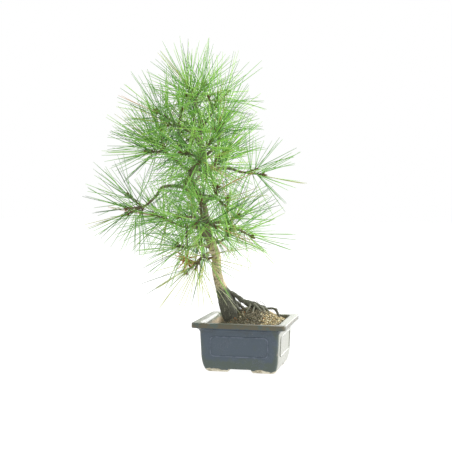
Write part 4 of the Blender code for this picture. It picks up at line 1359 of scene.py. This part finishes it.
def bark_material(sizes):
    """Tan bark with dark cracks and marks, greyer and darker up among the needles, and dark mossy roots below."""
    shader = Shader("pine_bark")
    crack, rooty, hollow = (shader.attribute(name) for name in ("crack", "rooty", "hollow"))
    patch = shader.noise(13 * MM, 3)
    fine = shader.noise(1.1 * MM, 4)
    bark = shader.mix(sizes.pale, shaded(sizes.pale, 0.62), (patch + fine * 0.5).ramp(0.55, 0.95))
    marks = shader.cells(2.6 * MM, stretch=(1, 1, 1.4)).ramp(0.30, 0.14) * shader.noise(6 * MM).ramp(0.42, 0.58)
    bark = shader.mix(bark, tint(122, 124, 92), shader.noise(9 * MM, 3, (1, 1, 0.6)).ramp(0.50, 0.66) * 0.7)
    bark = shader.mix(bark, sizes.speck, (crack.ramp(0.55, 0.98) * 0.75 + marks * 0.8).ramp(0, 1))
    high = (shader.z + (patch - 0.5) * 30 * MM).ramp(205 * MM, 235 * MM)
    upper = shader.mix(sizes.speck, sizes.pale, (patch * 0.7 + fine * 0.4).ramp(0.45, 1.0))
    bark = shader.mix(bark, upper, high * 0.85)
    colour = shader.mix(bark, root_colour(shader, sizes, hollow, fine), rooty)
    return shader.finish(colour, 0.78 + fine * 0.2, relief=fine, depth=0.5 * MM)


def root_colour(shader, sizes, hollow, fine):
    """Dark root bark with paler ridges as a painted sheen, and some green moss."""
    colour = shader.mix(shaded(sizes.root, 0.5), sizes.root, fine.ramp(0.35, 0.6))
    # Painted highlight: the raised ridges go paler, a grey sheen painted on.
    ridge_sheen = (1 - hollow).ramp(0.62, 0.95) * fine.ramp(0.42, 0.6)
    colour = shader.mix(colour, shaded(sizes.root, 2.2), ridge_sheen)
    moss = shader.noise(14 * MM, 3).ramp(0.5, 0.62) * shader.z.ramp(96 * MM, 122 * MM)
    return shader.mix(colour, sizes.moss, moss * 0.75)


def make_roots(context):
    """The bare roots that arch over the soil, with their rootlets."""
    sizes = context.scene.pine_bark
    shapes = []
    for i, stations in enumerate(ROOTS.values()):
        path = smooth_path(stations, 1.6 * MM)
        rng = random.Random(SEEDS["roots"] + i)
        path = [(p + Vector((rng.uniform(-1, 1), rng.uniform(-1, 1), rng.uniform(-1, 1))) * r * 0.08,
                 r * (1 + 0.1 * math.sin(k * 0.7 + i) + 0.06 * rng.uniform(-1, 1))) for k, (p, r) in enumerate(path)]
        shapes.append(tube(path, 18, 0.07, i))
    for place, size in ROOT_KNOTS:
        shapes.append(ball(tree_point(*place), size * MM))
    roots = remeshed("roots_bark", shapes, 0.6 * MM, 1)
    points, normals = points_of(roots.data), normals_of(roots.data)
    ridges = wandering(points, 1.8 * MM, 6)
    fine = wandering(points, 0.9 * MM, 7)
    set_points(roots.data, points + normals * ((ridges + fine * 0.5) * sizes.relief)[:, None])
    set_attribute(roots.data, "hollow", np.clip(0.5 - ridges, 0, 1))
    shader = Shader("root_bark")
    fine = shader.noise(1.1 * MM, 4)
    colour = root_colour(shader, sizes, shader.attribute("hollow"), fine)
    roots.data.materials.append(shader.finish(colour, 0.8 + fine * 0.2, relief=fine, depth=0.5 * MM))
    roots.data.shade_smooth()
    present(roots, "root_bark", *ROOTS)

    hairs = [arrays_of(smooth_path(stations, 1.5 * MM)) for stations in ROOTLETS]
    bark = two_toned("rootlet_bark", sizes.root, shaded(sizes.root, 2.6), (1.1 * MM, 4), (0.4, 0.7), 0.8, True)
    present(strands("rootlets", hairs, 7, bark), "root_bark", *ROOTS)


# Foliage


def knobbly(points, radii, rough, rng):
    """A path in short steps, whose radius wavers as a twig's does between its scars."""
    path = []
    for a, b, ra, rb in zip(points, points[1:], radii, radii[1:]):
        count = max(2, round((b - a).length / TWIG_STEP))
        for k in range(count):
            t = k / count
            path.append((a.lerp(b, t), (ra + (rb - ra) * t) * (1 + rough * rng.uniform(-1, 1))))
    return arrays_of([*path, (points[-1], radii[-1])])


def make_twigs(context):
    """The stem and side twigs of every mass, from inside the bough's tip to the shoots' tips."""
    sizes = context.scene.pine_bark
    rng = random.Random(SEEDS["twigs"])
    paths = []
    for stem, end, sides in skeleton()[2].values():
        start = stem[0][0] - (stem[1][0] - stem[0][0]).normalized() * 3 * MM
        places = [start, stem[1][0], stem[2][0], end]
        radii = [stem[0][1], stem[1][1], *STEM_RADII]
        paths.append(knobbly(places, radii, TWIG_ROUGHNESS, rng))
        for foot, tip in sides:
            axis = (tip - foot).normalized()
            is_long = (tip - foot).length > CORE_LENGTH + 3 * MM
            places = [foot, tip - axis * CORE_LENGTH, tip] if is_long else [foot, tip]
            paths.append(knobbly(places, SIDE_RADII[-len(places):], TWIG_ROUGHNESS, rng))
    shader = Shader("twig_bark")
    fine = shader.noise(1.4 * MM, 3)
    patch = shader.noise(18 * MM, 2)
    colour = shader.mix(sizes.speck, tint(148, 130, 98), (fine * 0.8 + patch * 0.5).ramp(0.45, 0.95))
    material = shader.finish(colour, 0.85, relief=fine, depth=0.4 * MM)
    present(strands("twigs", paths, 9, material), "bark", *MASSES)


def make_needles(context):
    """Pairs of needles along every shoot, by the solids' rule, bent a little and dealt out in tints."""
    sizes = context.scene.pine_needles
    _, _, plans, clearance = skeleton()
    rng = np.random.default_rng(SEEDS["needles"])
    sprays = {name: [] for name in TINTS}
    sheaths = []
    for mass, number, core, tip, share in shoots_of(plans):
        lift = MASSES[mass][5]
        base, first, out = needle_pairs(sizes, core, tip, lift, round(sizes.pairs * share), rng)
        curves = [needle_curve(base, first + out * side, lift, sizes, rng) for side in (-1, 1)]
        keep = np.ones(len(base), bool)
        for curve in curves:
            flat = curve[:, 1:].reshape(-1, 3)
            clear = clearance.distances(flat, {(mass, number)}).reshape(len(base), -1)
            keep &= (clear > sizes.radius).all(axis=1) & (curve[:, -1, 2] > LOWEST_NEEDLE)
        shares = np.array(TINT_SHARES.get(mass, TINT_SHARES["other"]))
        dealt = rng.choice(len(TINTS), len(base), p=shares / shares.sum())
        for which, tint_name in enumerate(TINTS):
            chosen = keep & (dealt == which)
            if chosen.any():
                sprays[tint_name] += [curve[chosen] for curve in curves]
        sheaths.append(np.stack([base, *(base + first * place for place in SHEATH_PLACES)], axis=1)[keep])
    for name, curves in sprays.items():
        if curves:
            lines = np.concatenate(curves)
            thickness = np.tile(sizes.radius * NEEDLE_TAPER, len(lines))
            material = needle_material("needles_" + name, getattr(sizes, name))
            present(strands("needles_" + name, [(lines, thickness)], 4, material), "needles", *MASSES)
    cases = np.concatenate(sheaths)
    thickness = np.tile(SHEATH_TAPER * sizes.radius * SHEATH_SWELL, len(cases))
    paper = two_toned("sheath_paper", sizes.sheath, shaded(sizes.sheath, 0.5), (1.5 * MM, 2), (0.35, 0.65), 0.85)
    present(strands("needle_sheaths", [(cases, thickness)], 5, paper), "needles", *MASSES)


def unit(vectors):
    """The vectors, each brought to length 1."""
    return vectors / np.linalg.norm(vectors, axis=1)[:, None]


def needle_pairs(sizes, core, tip, lift, count, rng):
    """Where each pair on a shoot starts, its heading, and half of the step that parts its two needles."""
    core, tip = np.array(core), np.array(tip)
    axis = (tip - core) / np.linalg.norm(tip - core)
    across, beside = (np.array(v) for v in side_axes(Vector(axis)))
    share = np.clip((np.arange(count) + rng.uniform(-0.5, 0.5, count)) / count, 0, 1)
    turn = np.arange(count) * GOLDEN_ANGLE + rng.uniform(0, math.tau)
    out = across * np.cos(turn)[:, None] + beside * np.sin(turn)[:, None]
    closed = share**NEEDLE_CROWDING
    lean = NEEDLE_WIDE + (NEEDLE_NARROW - NEEDLE_WIDE) * closed + rng.normal(0, NEEDLE_JITTER, count)
    side = np.cross(axis, out) * rng.normal(0, NEEDLE_SIDEWAYS, count)[:, None]
    heading = axis * np.cos(lean)[:, None] + (out + side) * np.sin(lean)[:, None]
    heading[:, 2] += lift
    heading = unit(heading)
    base = core + axis * (np.linalg.norm(tip - core) * share)[:, None] + out * 1.2 * MM
    parting = unit(np.cross(heading, rng.normal(0, 1, (count, 3))))
    spread = np.abs(rng.normal(sizes.spread / 2, sizes.spread / 5, count))
    return base, heading, parting * np.tan(spread)[:, None]


def needle_curve(base, heading, lift, sizes, rng):
    """Each needle as points along a curve of its own length, bent by chance and by its weight."""
    count = len(base)
    heading = unit(heading)
    bend = np.cross(heading, rng.normal(0, 1, (count, 3))) * rng.normal(0, NEEDLE_BEND, count)[:, None]
    level = np.sqrt(np.clip(1 - heading[:, 2] ** 2, 0, 1))
    bend[:, 2] -= level * (NEEDLE_SAG - lift * LIFT_OF_BEND)
    length = sizes.length * rng.uniform(*NEEDLE_LENGTHS, count)
    points = [base]
    for k in range(NEEDLE_PARTS):
        step = unit(heading + bend * (k + 0.5) / NEEDLE_PARTS)
        points.append(points[-1] + step * (length / NEEDLE_PARTS)[:, None])
    return np.stack(points, axis=1)


def needle_material(name, colour):
    return two_toned(name, colour, shaded(colour, 0.8), (24 * MM, 1), (0.4, 0.7), 0.42, Specular_IOR_Level=0.4)


def make_buds(context):
    """A cluster of scaly brown buds at every shoot's tip, and some along it."""
    sizes = context.scene.pine_needles
    rng = random.Random(SEEDS["buds"])
    buds = []
    for _, _, core, tip, _ in shoots_of(skeleton()[2]):
        axis = (tip - core).normalized()
        across, beside = side_axes(axis)
        count = rng.choice((1, 2, 3, 4))
        roll = rng.uniform(0, math.tau)
        for k in range(count):
            lean = 0 if k == 0 else rng.uniform(0.5, 0.9)
            turn = roll + k * GOLDEN_ANGLE
            out = across * math.cos(turn) + beside * math.sin(turn)
            heading = axis * math.cos(lean) + out * math.sin(lean)
            length = rng.uniform(*BUD_LENGTHS) * MM * (1 if k == 0 else 0.75)
            radius = rng.uniform(*BUD_RADII) * MM * (1 if k == 0 else 0.8)
            start = tip + out * (0 if k == 0 else 0.8 * MM) - axis * 1 * MM
            places = np.array([tuple(start + heading * length * s) for s in BUD_PLACES])
            buds.append((places, BUD_SWELL * radius))
    shader = Shader("bud_scales")
    fine = shader.noise(1.2 * MM, 2)
    scales = shader.cells(1.1 * MM).ramp(0.2, 0.6)
    colour = shader.mix(sizes.bud, shaded(sizes.bud, 0.4), (scales * 0.7 + fine * 0.5).ramp(0.5, 1.0))
    present(strands("buds", buds, 8, shader.finish(colour, 0.7, relief=scales, depth=0.3 * MM)), "bark", *MASSES)


def make_husks():
    """The dead tuft low on the left of the trunk, and the fallen needles that lie across the trunk's foot."""
    rng = random.Random(SEEDS["husks"])
    heart = tree_point(*DEAD_TUFT)
    start = skeleton()[1]["bough_foot_left"][-1][0]
    middle = start.lerp(heart, 0.5) + Vector((0, 0, 2 * MM))
    twig = knobbly([start, middle, heart], [1.9 * MM, 1.5 * MM, 1.3 * MM], 0.15, rng)
    husks = []
    for _ in range(HUSKS):
        out = Vector((rng.gauss(0, 1), rng.gauss(0, 0.8), rng.gauss(-0.7, 0.8))).normalized()
        length = rng.uniform(*HUSK_LENGTHS) * MM
        curl = Vector((rng.gauss(0, 1), rng.gauss(0, 1), rng.gauss(0, 1))) * 0.5
        place, heading, path = heart + out * 1.5 * MM, out, []
        parts = len(HUSK_TAPER) - 1
        for _ in HUSK_TAPER:
            path.append(tuple(place))
            place = place + heading * (length / parts)
            heading = (heading + curl / parts).normalized()
        husks.append((np.array(path), HUSK_TAPER * rng.uniform(*HUSK_RADII) * MM))
    dry = two_toned("dead_husk", tint(214, 168, 104), tint(128, 84, 50), (7 * MM, 2), (0.4, 0.62), 0.8)
    present(strands("dead_husks", husks, 5, dry), "needles", "foot_left")
    bark = two_toned("dead_twig", tint(92, 66, 44), tint(140, 104, 70), (1.2 * MM, 3), (0.4, 0.6), 0.85, True)
    present(strands("dead_twig", [twig], 8, bark), "bark", "foot_left")
    fallen = [arrays_of(smooth_path([(*s, FALLEN_RADIUS) for s in stations], 8 * MM)) for stations in FALLEN_NEEDLES]
    pale = needle_material("needles_fallen", tint(196, 200, 158))
    present(strands("fallen_needles", fallen, 4, pale), "needles", "foot_front")


# Stage


def make_stage(context):
    """A lit white table in a white room, with lamps on the right and behind, and the camera."""
    sizes = context.scene.pine_stage
    shader = Shader("floor_white")
    cloud = shader.noise(0.5, 2)
    white = shader.mix(sizes.floor, shaded(sizes.floor, 0.985), cloud.ramp(0.3, 0.7))
    half = FLOOR_HALF
    corners = [(-half, -half, 0), (half, -half, 0), (half, half, 0), (-half, half, 0)]
    lit = shader.finish(white, 0.8, Emission_Color=(1, 1, 1), Emission_Strength=sizes.glow)
    floor = new_object("floor", corners, [(0, 1, 2, 3)], lit)
    world = bpy.data.worlds.new("white_room")
    world.use_nodes = True
    background = world.node_tree.nodes["Background"].inputs
    background["Color"].default_value = (1, 1, 1, 1)
    background["Strength"].default_value = sizes.sky
    context.scene.world = world
    aim = POT_MIDDLE + Vector((0, 0, LAMP_AIM))
    for name, (power, place, width) in LAMPS.items():
        lamp(name, aim + Vector(place), aim, width, getattr(sizes, power))
    yaw, pitch = sizes.yaw, sizes.pitch
    camera = linked("camera", bpy.data.cameras.new("camera"))
    camera.data.lens = sizes.lens
    camera.data.sensor_width = SENSOR_WIDTH
    camera.location = POT_MIDDLE + Vector(sizes.camera)
    look = Vector((-math.sin(yaw) * math.cos(pitch), math.cos(yaw) * math.cos(pitch), -math.sin(pitch)))
    camera.rotation_euler = look.to_track_quat("-Z", "Y").to_euler()
    context.scene.camera = camera
    context.scene.view_settings.view_transform = "Standard"


def lamp(name, place, aim, size, power):
    light = bpy.data.lights.new(name, "AREA")
    light.shape = "SQUARE"
    light.size = size
    light.energy = power
    made = linked(name, light)
    made.location = place
    made.rotation_euler = (aim - place).to_track_quat("-Z", "Y").to_euler()


# Operators


class PINE_OT_pot(bpy.types.Operator):
    """Make the glazed pot with its framed panels"""

    bl_idname = "pine.pot"
    bl_label = "Pot"

    def execute(self, context):
        make_pot(context)
        return {"FINISHED"}


class PINE_OT_soil(bpy.types.Operator):
    """Make the heaped soil and its grains"""

    bl_idname = "pine.soil"
    bl_label = "Soil"

    def execute(self, context):
        make_soil(context)
        return {"FINISHED"}


class PINE_OT_limbs(bpy.types.Operator):
    """Make the bark of the trunk and boughs"""

    bl_idname = "pine.limbs"
    bl_label = "Trunk and boughs"

    def execute(self, context):
        make_limbs(context)
        return {"FINISHED"}


class PINE_OT_roots(bpy.types.Operator):
    """Make the bare roots"""

    bl_idname = "pine.roots"
    bl_label = "Roots"

    def execute(self, context):
        make_roots(context)
        return {"FINISHED"}


class PINE_OT_twigs(bpy.types.Operator):
    """Make the twigs and buds of every mass"""

    bl_idname = "pine.twigs"
    bl_label = "Twigs and buds"

    def execute(self, context):
        make_twigs(context)
        make_buds(context)
        return {"FINISHED"}


class PINE_OT_needles(bpy.types.Operator):
    """Make the needles of every mass"""

    bl_idname = "pine.needles"
    bl_label = "Needles"

    def execute(self, context):
        make_needles(context)
        return {"FINISHED"}


class PINE_OT_husks(bpy.types.Operator):
    """Make the dead tuft and the fallen needles"""

    bl_idname = "pine.husks"
    bl_label = "Dead tuft"

    def execute(self, context):
        make_husks()
        return {"FINISHED"}


class PINE_OT_stage(bpy.types.Operator):
    """Make the floor, lights and camera"""

    bl_idname = "pine.stage"
    bl_label = "Stage"

    def execute(self, context):
        make_stage(context)
        return {"FINISHED"}


OPERATORS = (PINE_OT_stage, PINE_OT_pot, PINE_OT_soil, PINE_OT_limbs, PINE_OT_roots, PINE_OT_twigs,
             PINE_OT_needles, PINE_OT_husks)


class PINE_PT_panel(bpy.types.Panel):
    """Buttons and sizes of the potted pine"""

    bl_idname = "PINE_PT_panel"
    bl_label = "Potted pine"
    bl_space_type = "VIEW_3D"
    bl_region_type = "UI"
    bl_category = "Pine"

    def draw(self, context):
        for operator in OPERATORS:
            self.layout.operator(operator.bl_idname)
        for name, group in SETTINGS.items():
            box = self.layout.box()
            box.label(text=group.__doc__)
            for key in group.__annotations__:
                box.prop(getattr(context.scene, name), key)


CLASSES = (*SETTINGS.values(), *OPERATORS, PINE_PT_panel)


def register():
    for made in CLASSES:
        bpy.utils.register_class(made)
    for name, group in SETTINGS.items():
        setattr(bpy.types.Scene, name, PointerProperty(type=group))


def unregister():
    for name in SETTINGS:
        delattr(bpy.types.Scene, name)
    for made in reversed(CLASSES):
        bpy.utils.unregister_class(made)


def main():
    register()
    for operator in OPERATORS:
        area, name = operator.bl_idname.split(".")
        getattr(getattr(bpy.ops, area), name)()


if __name__ == "__main__":
    main()
